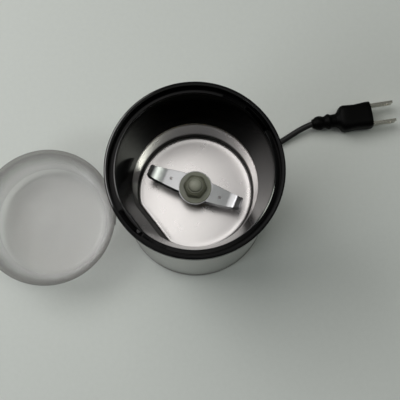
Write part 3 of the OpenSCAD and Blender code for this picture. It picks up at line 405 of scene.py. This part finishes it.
def tube(name, path, radius, look):
    """A round tube along points in millimetres, as a curve."""
    data = bpy.data.curves.new(name, "CURVE")
    data.dimensions = "3D"
    spline = data.splines.new("POLY")
    spline.points.add(len(path) - 1)
    for point, p in zip(spline.points, path):
        point.co = (*[c * MM for c in p], 1)
    data.bevel_depth = radius * MM
    data.bevel_resolution = 4
    data.use_fill_caps = True
    data.materials.append(MAT[look])
    obj = bpy.data.objects.new(name, data)
    scene.collection.objects.link(obj)
    return obj


def eased(t):
    """0 to 1 with a soft start and end."""
    t = max(0.0, min(1.0, t))
    return t * t * (3 - 2 * t)


# ---------------------------------------------------------------- camera and cord

CAMERA_AT = (2.7 * MM, -82.0 * MM, 475.2 * MM)
CAMERA_TILT = 10.44
CAMERA_LENS = 64.35

camera_data = bpy.data.cameras.new("camera")
camera_data.lens = CAMERA_LENS
camera_data.sensor_width = 36.0
camera_data.clip_start = 0.01
camera_data.clip_end = 20.0
camera = bpy.data.objects.new("camera", camera_data)
camera.location = CAMERA_AT
camera.rotation_euler = (math.radians(CAMERA_TILT), 0.0, 0.0)
scene.collection.objects.link(camera)
scene.camera = camera

CORD_D = 4.0
# From the gland the cord swings out to the winding: directions and distances, all on the top row
LEAD_IN = [(241, 31.2), (234, 32.2), (226, 33.2), (217, 34.3), (208, 35.3), (199, 36.1), (190, 36.4)]
INNER_R, OUTER_R = 36.4, 40.4
TOP_ROW, LOW_ROW, MOUTH_Z = 10.4, 6.4, 2.3
# It is wound clockwise, so its directions fall. These are where it moves to the outer ring, to the low row,
# back to the inner ring and down to the mouth, and where the winding ends
TO_OUTER, TO_LOW, TO_INNER, TO_MOUTH, WOUND_END = -25, -330, -635, -925, -984
MOVE_DEG, MOUTH_DEG, WOUND_STEP = 50, 58, 3
CORD_END = [(2, 36.5, 2.3), (10, 36.5, 2.05), (18, 36.5, 2.05), (26, 36.5, 2.05), (34, 37, 2.05),
            (42, 38.6, 2.05), (50, 41.5, 2.05), (58, 45.6, 2.3), (64, 49.2, 3), (70, 52.8, 4.2),
            (75, 55.3, 5.4), (79, 56.8, 6.4)]


def wound(az):
    """Distance and height of the wound cord at a direction, counted down from the lead-in."""
    if az > LEAD_IN[-1][0]:
        for (a1, r1), (a0, r0) in zip(LEAD_IN, LEAD_IN[1:]):
            if az >= a0:
                return r0 + (r1 - r0) * (az - a0) / (a1 - a0), TOP_ROW
    out = eased((TO_OUTER - az) / MOVE_DEG) - eased((TO_INNER - az) / MOVE_DEG)
    down = eased((TO_LOW - az) / MOVE_DEG)
    last = eased((TO_MOUTH - az) / MOUTH_DEG)
    r = INNER_R + (OUTER_R - INNER_R) * out
    z = TOP_ROW + (LOW_ROW - TOP_ROW) * down
    return r, z + (MOUTH_Z - LOW_ROW) * last


def smooth_run(points):
    """Points about 2 mm apart along a Catmull-Rom line through the given ones."""
    step = 2.0
    vectors = [Vector(p) for p in points]
    vectors = [2 * vectors[0] - vectors[1]] + vectors + [2 * vectors[-1] - vectors[-2]]
    run = []
    for a, b, c, d in zip(vectors, vectors[1:], vectors[2:], vectors[3:]):
        count = max(1, round((c - b).length / step))
        for i in range(count):
            t = i / count
            square, cube = 2 * a - 5 * b + 4 * c - d, 3 * b - a - 3 * c + d
            run.append(0.5 * ((2 * b) + (c - a) * t + square * t * t + cube * t ** 3))
    return [tuple(p) for p in run] + [tuple(vectors[-2])]


cord_path = []
for az in range(LEAD_IN[0][0], WOUND_END, -WOUND_STEP):
    r, z = wound(az)
    cord_path.append(polar(r, az, z))
cord_path += smooth_run([cord_path[-1]] + CORD_END)[1:]
cord = tube("cord", cord_path, CORD_D / 2, "cord")
dress(cord, "housing", "cord_black", "cord_lead_in", "cord_winding", "cord_free")

# ---------------------------------------------------------------- collar

BODY_H, RIM_Z, LEDGE_Z, GROOVE_Z, HEAD_Z, FOOT_Z, JOINT_Z = 120.0, 114.0, 115.1, 114.2, 108.5, 82.0, 79.6
RIM_R, LIP_R, SPIGOT_R, GROOVE_R, FOOT_R = 46.6, 44.5, 44.1, 43.6, 43.6
LEDGE_R, BOWL_R, COLLAR_T, CONE_MID_Z = 41.3, 35.5, 2.2, 95.0
# Distance of the flat side from the axis at the ledge, at the joint of collar and bowl, and at the floor
FLAT_LEDGE, FLAT_JOINT, FLAT_FLOOR, FLAT_SOFT = 40.3, 33.8, 30.6, 0.6
# The rim's top: steps in from RIM_R and down from BODY_H, over a rounded shoulder and a low bead
RIM_LINE = [(0.0, 1.3), (0.06, 0.9), (0.22, 0.55), (0.48, 0.32), (0.55, 0.28),
            (0.6, 0.15), (1.1, 0.0), (1.2, 0.05), (1.25, 0.28)]
# The rim's inner edge: steps out from LIP_R and down from BODY_H
LIP_LINE = [(0.35, 0.32), (0.1, 0.55), (0.0, 0.9)]

# The two lid catches and what lies at offsets from their directions: a pocket under each, a ramp, fine ribs
CATCHES = (38, 218)
CATCH_HALF, CATCH_IN, CATCH_OUT, CATCH_Z0, CATCH_Z1 = 8, 42.9, 44.75, 117.8, 119.5
POCKET_FROM, POCKET_TO, POCKET_Z, POCKET_R = -8, 13.5, 111.1, 42.1
RAMP_FROM, RAMP_TO, RAMP_FOOT, RAMP_RISE, RAMP_R = -21.8, -8.8, 0.1, 1.5, 42.0
RIB_FROM, RIB_TO, RIB_STEP, RIB_H = 14.4, 32.0, 1.6, 0.35


def cut_by_flat(r, distance, az):
    """The smaller of a radius and a flat side's distance, with a soft corner."""
    c = math.cos(math.radians(az - FLAT_AZ))
    if c < 0.3:
        return r
    flat = distance / c
    h = max(0.0, min(1.0, 0.5 + 0.5 * (flat - r) / FLAT_SOFT))
    return flat * (1 - h) + r * h - FLAT_SOFT * h * (1 - h)


def hopper_r(z, az, extra=0.0):
    """Inner radius of the collar's cone."""
    t = (z - JOINT_Z) / (LEDGE_Z - JOINT_Z)
    return cut_by_flat(BOWL_R + t * (LEDGE_R - BOWL_R) + extra,
                       FLAT_JOINT + t * (FLAT_LEDGE - FLAT_JOINT) + extra, az)


def from_catch(az, catch):
    """Offset of a direction from a catch, from -180 to 180 degrees."""
    return (az - catch + 180) % 360 - 180


def ledge_rise(az):
    """Height over the ledge of the ramp that leads to a catch, and of the fine ribs past it."""
    for catch in CATCHES:
        offset = from_catch(az, catch)
        if RAMP_FROM <= offset <= RAMP_TO:
            return RAMP_FOOT + RAMP_RISE * (offset - RAMP_FROM) / (RAMP_TO - RAMP_FROM)
        if RIB_FROM <= offset <= RIB_TO:
            return RIB_H * (0.5 - 0.5 * math.cos(2 * math.pi * (offset - RIB_FROM) / RIB_STEP))
    return 0.0


def collar_profile(az):
    """Section of the collar: rim, groove or pocket, ledge, cone, foot and spigot."""
    pocket = any(POCKET_FROM <= from_catch(az, catch) <= POCKET_TO for catch in CATCHES)
    groove_z = POCKET_Z if pocket else GROOVE_Z
    ledge_out = POCKET_R if pocket else GROOVE_R
    ledge_z = LEDGE_Z + ledge_rise(az)
    inner = hopper_r(LEDGE_Z, az)
    points = [(RIM_R, RIM_Z)]
    points += [(RIM_R - step, BODY_H - down) for step, down in RIM_LINE]
    points += [(LIP_R + step, BODY_H - down) for step, down in LIP_LINE]
    points += [(LIP_R, groove_z), (ledge_out, groove_z), (ledge_out, ledge_z - 0.12),
               (ledge_out - 0.12, ledge_z), (RAMP_R + 0.05, ledge_z), (RAMP_R, LEDGE_Z),
               (inner + 0.68, LEDGE_Z), (inner + 0.12, LEDGE_Z + 0.16), (inner + 0.02, LEDGE_Z - 0.1)]
    cone_z, steps = LEDGE_Z - 0.6, 12
    for i in range(steps + 1):
        z = cone_z - i * (cone_z - JOINT_Z) / steps
        points.append((hopper_r(z, az), z))
    points += [(FOOT_R, JOINT_Z), (FOOT_R, FOOT_Z)]
    points += [(hopper_r(z, az, COLLAR_T), z) for z in (FOOT_Z, CONE_MID_Z, HEAD_Z)]
    return points + [(SPIGOT_R, HEAD_Z), (SPIGOT_R, RIM_Z)]


def collar_look(high, wide):
    """Material of a face: 0 on the cone and the sides, 1 on the rim and the ledge, 2 where the lid rubs."""
    on_bead = high > BODY_H - 0.12 and wide > RIM_R - 1.1
    on_lip = high > BODY_H - 0.8 and LIP_R < wide < LIP_R + 0.3
    on_ledge = LEDGE_Z + 0.02 < high < LEDGE_Z + 0.14 and wide < RAMP_R - 0.1
    if on_bead or on_lip or on_ledge:
        return 2
    return 1 if high > RIM_Z - 0.2 and wide < RIM_R - 0.5 else 0


# A section each degree, close pairs where a pocket or ramp ends, and four to each rib
edges = {(catch + offset + side) % 360 for catch in CATCHES
         for offset in (POCKET_FROM, POCKET_TO, RAMP_FROM, RAMP_TO) for side in (-0.05, 0.05)}
rib_sections = round((RIB_TO - RIB_FROM) / RIB_STEP * 4) + 1
ribs = {(catch + RIB_FROM + i * RIB_STEP / 4) % 360 for catch in CATCHES for i in range(rib_sections)}
collar = turned("collar", collar_profile, sorted(set(range(360)) | edges | ribs), "collar", 28)
collar.data.materials.append(MAT["rim"])
collar.data.materials.append(MAT["lip"])
for face in collar.data.polygons:
    x, y, z = face.center / MM
    face.material_index = collar_look(z, math.hypot(x, y))
dress(collar, "housing", "black_collar", "top_collar")

catches = ring_segments("lid_catches", CATCHES, CATCH_HALF, CATCH_IN, CATCH_OUT, CATCH_Z0, CATCH_Z1, "collar")
dress(catches, "housing", "black_collar")

# ---------------------------------------------------------------- bowl

FLOOR_Z, FLOOR_R, SHEET = 56.2, 34.0, 0.8
FILLET, FILLET_DEG = 0.7, 66
BOSS_R, DISH_R, WALL_MID_Z = 7.0, 13.0, 70.0
# Rise of the floor by distance from the foot of the wall: a rounded shoulder, then nearly flat
FLOOR_LINE = [(0.5, 0.0), (0.65, 0.06), (0.9, 0.13), (1.3, 0.17), (1.9, 0.15), (2.7, 0.08), (3.7, 0.04),
              (5.0, 0.05), (8.0, 0.08), (11.0, 0.1), (14.0, 0.12)]


def bowl_r(z, az, extra=0.0):
    """Inner radius of the bowl's wall."""
    t = (z - FLOOR_Z) / (JOINT_Z - FLOOR_Z)
    return cut_by_flat(FLOOR_R + t * (BOWL_R - FLOOR_R) + extra,
                       FLAT_FLOOR + t * (FLAT_JOINT - FLAT_FLOOR) + extra, az)


def bowl_profile(az):
    """Section of the bowl: flange under the collar, wall, corner, floor up to the boss, and its underside."""
    flange_z, wall_z, corner_z = JOINT_Z - SHEET, JOINT_Z - 0.3, FLOOR_Z + FILLET
    wall_steps, corner_steps = 8, 6
    corner = bowl_r(corner_z, az)
    points = [(FOOT_R, flange_z), (FOOT_R, JOINT_Z), (bowl_r(JOINT_Z, az) + 0.3, JOINT_Z),
              (bowl_r(JOINT_Z, az), wall_z)]
    for i in range(1, wall_steps + 1):
        z = wall_z - i * (wall_z - corner_z) / wall_steps
        points.append((bowl_r(z, az), z))
    for i in range(1, corner_steps + 1):
        t = math.radians(FILLET_DEG * i / corner_steps)
        points.append((corner - FILLET * (1 - math.cos(t)), FLOOR_Z + FILLET * (1 - math.sin(t))))
    points += [(corner - step, FLOOR_Z + rise) for step, rise in FLOOR_LINE]
    points += [(DISH_R, FLOOR_Z + 0.15), (BOSS_R, FLOOR_Z + 0.18), (BOSS_R, FLOOR_Z - SHEET),
               (corner - 1.8, FLOOR_Z - 1.3)]
    return points + [(bowl_r(z, az, SHEET), z) for z in (corner_z, WALL_MID_Z, flange_z)]


bowl = turned("bowl", bowl_profile, range(360), "bowl", 50)
dress(bowl, "housing", "bowl_steel", "grinding_bowl")

# ---------------------------------------------------------------- blade and nut

BLADE_Z, BLADE_T, BLADE_AZ = 68.2, 1.2, -22
# The bore round the shaft, the round centre, and where each wing is pierced
BORE_R, CENTRE_R, HOLE_AT, HOLE_R = 3.02, 9.9, 15.2, 0.9
WING_FROM, ROOT_END, WING_END, WING_HALF = 3.0, 9, 29.8, 6.25
ROOT_STEP, TIP_STEP = 1.5, 0.4
# Each side of a wing narrows to the tip, and its corner there has a length and a depth
NEAR_TAPER, NEAR_CORNER, NEAR_CUT = 3.1, 1.4, 1.0
FAR_TAPER, FAR_CORNER, FAR_CUT = 1.5, 3.2, 1.9
DROOP_FROM, DROOP_DEG = 9.3, 3.5
# Lean of the two tips by arc length; each was turned up on its own and they differ a little
TIP_RIGHT = [(19.5, 0), (21.5, 8), (24.2, 18), (25.4, 36), (27.0, 50), (29.8, 58)]
TIP_LEFT = [(17.5, 0), (19.2, 8), (20.0, 11.5), (23.6, 18), (27.0, 28), (28.8, 48), (29.8, 60)]
EDGE_H, WIDE_BEVEL, NARROW_BEVEL = 0.3, 1.1, 0.35


def wing_lean(s, tip):
    """Lean of the wing at arc length s: a droop past the hub, then a tip that turns up ever more tightly."""
    droop = -DROOP_DEG if s > DROOP_FROM else 0.0
    for (s0, a0), (s1, a1) in zip(tip, tip[1:]):
        if s0 <= s <= s1:
            return math.radians(droop + a0 + (a1 - a0) * (s - s0) / (s1 - s0))
    return math.radians(droop)


def wing_line(tip):
    """Arc length, distance from the axis, rise and lean at each station of a wing."""
    s, x, z = WING_FROM, WING_FROM, 0.0
    stations = [(s, x, z, 0.0)]
    while s < WING_END - 1e-6:
        step = min(TIP_STEP if s > tip[0][0] - 0.5 else ROOT_STEP, WING_END - s)
        lean = wing_lean(s + step / 2, tip)
        s, x, z = s + step, x + step * math.cos(lean), z + step * math.sin(lean)
        stations.append((s, x, z, wing_lean(s, tip)))
    return stations


def wing_width(s):
    """Half widths of the wing on its two sides: nearly straight tapers, then the tip's two corners."""
    t = max(0.0, (s - ROOT_END) / (WING_END - ROOT_END))
    t = 0.35 * eased(t) + 0.65 * t
    near, far = (max(0.0, 1 - (WING_END - s) / length) for length in (NEAR_CORNER, FAR_CORNER))
    return (WING_HALF - NEAR_TAPER * t - NEAR_CUT * near ** 2,
            WING_HALF - FAR_TAPER * t - FAR_CUT * (1 - math.sqrt(1 - far ** 2)))


def wing_piece(name, az, tip, bevels):
    """One wing at a direction, with ground edges and a tip that turns up."""
    verts, stations = [], wing_line(tip)
    for s, x, z, lean in stations:
        low, high = wing_width(s)
        section = [(-low, 0.0), (high, 0.0), (high, EDGE_H), (high - bevels[1], BLADE_T),
                   (-low + bevels[0], BLADE_T), (-low, EDGE_H)]
        for y, up in section:
            verts.append((*swung(x - up * math.sin(lean), y, az), BLADE_Z + z + up * math.cos(lean)))
    return piece(name, verts, rod_faces(len(stations), len(section), turned_round=True), "blade", 25)


def drilled(obj, at, radius, z0, z1):
    """Cuts an upright round hole."""
    sides = 24
    verts = [(at[0] + radius * math.cos(2 * math.pi * i / sides),
              at[1] + radius * math.sin(2 * math.pi * i / sides), z)
             for z in (z0, z1) for i in range(sides)]
    cutter = piece(obj.name + "_cut", verts, rod_faces(2, sides, turned_round=True), "blade")
    cut = obj.modifiers.new("hole", "BOOLEAN")
    cut.operation = "DIFFERENCE"
    cut.solver = "EXACT"
    cut.object = cutter
    bpy.context.view_layer.update()
    mesh = bpy.data.meshes.new_from_object(obj.evaluated_get(bpy.context.evaluated_depsgraph_get()))
    obj.modifiers.clear()
    smoothed(mesh, 25)
    obj.data = mesh
    bpy.data.objects.remove(cutter)


def centre_profile(az):
    """Section of the round disc that holds the roots of both wings, 0.02 mm proud of them above and below."""
    low, high = BLADE_Z - 0.02, BLADE_Z + BLADE_T + 0.02
    return [(BORE_R, low), (CENTRE_R - 0.2, low), (CENTRE_R, low + 0.17), (CENTRE_R, high - 0.22),
            (CENTRE_R - 0.2, high), (BORE_R, high)]


wings = [wing_piece("blade_wing_right", BLADE_AZ, TIP_RIGHT, (WIDE_BEVEL, NARROW_BEVEL)),
         wing_piece("blade_wing_left", BLADE_AZ + 180, TIP_LEFT, (NARROW_BEVEL, WIDE_BEVEL))]
for wing, az in zip(wings, (BLADE_AZ, BLADE_AZ + 180)):
    drilled(wing, polar(HOLE_AT, az, 0)[:2], HOLE_R, BLADE_Z - 2, BLADE_Z + BLADE_T + 1)
blade_centre = turned("blade_centre", centre_profile, range(0, 360, 3), "blade", 30)
for wing in wings:
    dress(wing, "rotor", "blade_steel")
dress(blade_centre, "rotor", "blade_steel", "blade")

NUT_Z, FLANGE_T, HEX_H = BLADE_Z + BLADE_T, 1.4, 5.0
HEX_HALF, FLANGE_R, DOME_R, DOME_SQUASH = 6.2, 9.3, 4.2, 0.78
NUT_AZ = BLADE_AZ + 13


def hex_r(az):
    """Distance of the hexagon's side at a direction, with softened corners."""
    off = (az - NUT_AZ + 30) % 60 - 30
    flat = HEX_HALF / math.cos(math.radians(30 - abs(off)))
    return min(flat, HEX_HALF / math.cos(math.radians(30)) - 0.35)


def nut_profile(az):
    """Section of the hub nut: flange, hexagon, shoulder and dome."""
    hexagon = hex_r(az)
    z0, z1 = NUT_Z + FLANGE_T, NUT_Z + FLANGE_T + HEX_H
    points = [(BORE_R, NUT_Z), (FLANGE_R - 0.2, NUT_Z), (FLANGE_R, NUT_Z + 0.2),
              (FLANGE_R, z0 - 0.45), (FLANGE_R - 0.15, z0 - 0.15), (FLANGE_R - 0.5, z0),
              (hexagon + 0.35, z0), (hexagon + 0.1, z0 + 0.1), (hexagon, z0 + 0.35),
              (hexagon, z1 - 2.1), (hexagon - 0.15, z1 - 1.8),
              (DOME_R + 1.5, z1 - 0.25), (DOME_R + 1.2, z1 - 0.05), (DOME_R + 0.8, z1 + 0.1),
              (DOME_R + 0.7, z1 + 0.6), (DOME_R + 0.4, z1 + 0.9)]
    steps, first_deg, last_deg = 10, 6, 89
    for i in range(steps + 1):
        t = math.radians(first_deg + (last_deg - first_deg) * i / steps)
        points.append((DOME_R * math.cos(t), z1 + 0.55 + DOME_R * DOME_SQUASH * math.sin(t)))
    return points + [(0.05, z1 - 0.6), (BORE_R, z1 - 0.6)]


nut = turned("hub_nut", nut_profile, range(0, 360, 2), "nut", 32)
dress(nut, "rotor", "hub_nut", "blade_nut")

# ---------------------------------------------------------------- pin spring

COIL_TURNS, COIL_WIRE_R, COIL_STEPS, COIL_SIDES, PIN_TRAVEL = 7, 0.2, 24, 8, 3.0
coil_lo, coil_hi = ([c / MM for c in corner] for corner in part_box("pin_spring"))
coil_x, coil_y = ((a + b) / 2 for a, b in zip(coil_lo[:2], coil_hi[:2]))
coil_r = (coil_hi[0] - coil_lo[0]) / 2 - COIL_WIRE_R
coil_rise = coil_hi[2] - coil_lo[2] - 2 * COIL_WIRE_R
coil_sections = COIL_TURNS * COIL_STEPS + 1
coil_verts = []
for i in range(coil_sections):
    middle_z = coil_lo[2] + COIL_WIRE_R + coil_rise * i / (coil_sections - 1)
    for j in range(COIL_SIDES):
        t = 2 * math.pi * j / COIL_SIDES
        x, y, z = polar(coil_r + COIL_WIRE_R * math.cos(t), 360 * i / COIL_STEPS,
                        middle_z + COIL_WIRE_R * math.sin(t))
        coil_verts.append((coil_x + x, coil_y + y, z))
coil = piece("pin_coil", coil_verts, rod_faces(coil_sections, COIL_SIDES), "spring", 40)
dress(coil, "housing", "spring_steel", "pin_spring")
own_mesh(coil)

# ---------------------------------------------------------------- plug

PLUG_AT, PLUG_AZ = CORD_END[-1], 9
RELIEF_L, RELIEF_STEP, RELIEF_MOUTH_R = 17.0, 0.5, 2.3
# The relief's two broad rings and the waist between them: centre, half length and height
RIPPLES = [(4.4, 3.4, 0.5), (11.0, 2.2, 0.9), (8.0, 1.6, -0.35)]
# Sections of the grip: distance past the relief, half width, half thickness, squareness and rise
GRIP = [(-0.6, 4.6, 4.6, 2.2, 0.1), (0.6, 5.6, 5.0, 2.4, 0.3), (1.8, 7.4, 5.8, 2.8, 0.6),
        (3.0, 8.5, 6.4, 3.2, 0.6), (4.6, 8.9, 6.7, 3.6, 0.6), (8.0, 8.6, 6.7, 3.8, 0.6),
        (12.0, 8.3, 6.7, 3.8, 0.6), (16.0, 8.6, 6.75, 3.8, 0.6), (19.5, 8.95, 6.8, 3.8, 0.6),
        (22.3, 8.95, 6.8, 3.8, 0.6), (22.8, 8.8, 6.65, 3.6, 0.6), (23.0, 8.3, 6.2, 3.4, 0.6)]


def plug_loft(name, stations):
    """Rounded sections across the plug's line, each with the five measures that GRIP names."""
    sides = 48
    verts = []
    for x, half_w, half_t, square, rise in stations:
        for i in range(sides):
            t = 2 * math.pi * i / sides
            c, w = math.cos(t), math.sin(t)
            across = half_w * math.copysign(abs(c) ** (2 / square), c)
            up = half_t * math.copysign(abs(w) ** (2 / square), w)
            px, py = swung(x, across, PLUG_AZ)
            verts.append((PLUG_AT[0] + px, PLUG_AT[1] + py, PLUG_AT[2] + rise + up))
    return piece(name, verts, rod_faces(len(stations), sides, turned_round=True), "plug", 40)


def ridge(x, centre, half, height):
    """Smooth bump round a centre."""
    t = abs(x - centre) / half
    return height * (0.5 + 0.5 * math.cos(math.pi * t)) if t < 1 else 0.0


def relief_r(x):
    """Radius of the strain relief: rounded at its mouth, a little wider to the plug, and rippled."""
    r = 3.0 + 1.1 * eased(x / 3.0) + 0.5 * x / RELIEF_L
    return r + sum(ridge(x, *ripple) for ripple in RIPPLES)


relief_sections = [(0.0, RELIEF_MOUTH_R, RELIEF_MOUTH_R, 2, 0.0)]
for i in range(round(RELIEF_L / RELIEF_STEP) + 1):
    r = relief_r(i * RELIEF_STEP)
    relief_sections.append((i * RELIEF_STEP, r, r, 2, 0.0))
relief = plug_loft("cord_relief", relief_sections)
dress(relief, "housing", "cord_black", "plug_relief")

body = plug_loft("plug_grip", [(RELIEF_L + x, *section) for x, *section in GRIP])
dress(body, "housing", "plug_black", "plug_body")

# ---------------------------------------------------------------- lid

LID_AT, LID_R, CROWN_R, LID_H, LID_T, LID_CORNER = (-95.0, -10.0), 43.2, 34.0, 27.0, 1.8, 7.0
NUB_R, NUB_H = 3.2, 0.7
LUG_HALF, LUG_H = 7, 2.0


def lid_side(inset):
    """The rounded corner of the lid's outer or inner face, from the crown's flat to the side."""
    lean = math.atan((LID_R - CROWN_R) / (LID_H - LID_CORNER))
    r, steps = LID_CORNER - inset, 12
    line = []
    for i in range(steps + 1):
        t = -math.pi / 2 + (math.pi / 2 - lean) * i / steps
        line.append((CROWN_R - LID_CORNER / 2 + r * math.cos(t), LID_CORNER + r * math.sin(t)))
    return line


def lid_profile(az):
    """Section of the lid as it lies, crown down: outer face, brim, inner face and the nub in its middle."""
    brim_r = LID_R + 0.5
    points = [(0.05, 0.0)] + lid_side(0.0)
    points += [(LID_R - 1.1, LID_H - 2.7), (brim_r - 0.3, LID_H - 2.5), (brim_r, LID_H - 2.1),
               (brim_r, LID_H - 0.4), (brim_r - 0.3, LID_H - 0.1), (LID_R - 0.2, LID_H),
               (LID_R - LID_T + 0.4, LID_H), (LID_R - LID_T, LID_H - 0.4)]
    points += lid_side(LID_T)[::-1]
    return points + [(NUB_R + 0.6, LID_T), (NUB_R, LID_T + 0.12), (NUB_R - 0.5, LID_T + NUB_H * 0.7),
                     (NUB_R - 1.2, LID_T + NUB_H), (0.05, LID_T + NUB_H)]


def shift(obj, x, y):
    """Shifts a piece's mesh sideways, in millimetres."""
    for vert in obj.data.vertices:
        vert.co.x += x * MM
        vert.co.y += y * MM


lid = turned("clear_lid", lid_profile, [i * 2.5 for i in range(144)], "clear", 30)
shift(lid, *LID_AT)
dress(lid, "lid", "clear_lid", "lid")
lugs = ring_segments("lid_lugs", (0, 180), LUG_HALF, LID_R + 0.35, LID_R + 1.2, LID_H - LUG_H, LID_H, "clear")
shift(lugs, *LID_AT)
dress(lugs, "lid", "clear_lid")

# ---------------------------------------------------------------- floor, light and finish

# Laminate pressed with a fine matt texture: a plain pale grey with a hint of green and no clear reflections
table, tree, here = begun("table_laminate_pale_grey")
grain = add(tree, "ShaderNodeTexNoise",
            {"Vector": here, "Scale": 1 / (3 * MM), "Detail": 3.0, "Roughness": 0.6})
table = finished(table, tree, add(tree, "ShaderNodeBsdfPrincipled", {
    "Base Color": add(tree, "ShaderNodeMix",
                      {0: grain, 6: srgb("#C9CDC8"), 7: srgb("#CFD3CE")}, data_type="RGBA"),
    "Roughness": add(tree, "ShaderNodeMapRange", {"Value": grain, "To Min": 0.45, "To Max": 0.6}),
}))

FLOOR_HALF, TABLE_Z = 3.0, -0.05 * MM
floor_mesh = bpy.data.meshes.new("floor")
floor_corners = [(x * FLOOR_HALF, y * FLOOR_HALF, TABLE_Z) for x, y in ((-1, -1), (1, -1), (1, 1), (-1, 1))]
floor_mesh.from_pydata(floor_corners, [], [(0, 1, 2, 3)])
floor_mesh.materials.append(table)
floor = bpy.data.objects.new("floor", floor_mesh)
scene.collection.objects.link(floor)


def soft_light(name, at, aim, size, power, tone):
    """A rectangular light at a place, aimed at another; places and sizes in metres, power in watts."""
    data = bpy.data.lights.new(name, "AREA")
    data.shape = "RECTANGLE"
    data.size, data.size_y = size
    data.energy = power
    data.color = srgb(tone)[:3]
    obj = bpy.data.objects.new(name, data)
    obj.location = at
    obj.rotation_euler = (Vector(aim) - Vector(at)).to_track_quat("-Z", "Y").to_euler()
    scene.collection.objects.link(obj)


soft_light("window", (-1.0, 0.45, 0.95), (0.0, 0.0, 0.05), (1.0, 0.9), 6.6, "#FFFFFF")
soft_light("ceiling", (-0.93, 0.85, 1.6), (-0.93, 0.85, 0.0), (2.0, 1.9), 17.0, "#FFFDFA")
soft_light("side", (0.75, 0.02, 1.6), (0.0, 0.0, 0.1), (0.35, 0.35), 2.5, "#F4FAEE")
soft_light("fill", (-0.95, -0.65, 0.9), (-0.15, -0.25, 0.0), (0.6, 0.5), 4.0, "#F2F6F8")

WORLD_STRENGTH = 0.15
world = bpy.data.worlds.new("studio")
world.use_nodes = True
world.node_tree.nodes["Background"].inputs[0].default_value = srgb("#DDE0E2")
world.node_tree.nodes["Background"].inputs[1].default_value = WORLD_STRENGTH
scene.world = world
scene.view_settings.view_transform = "Standard"
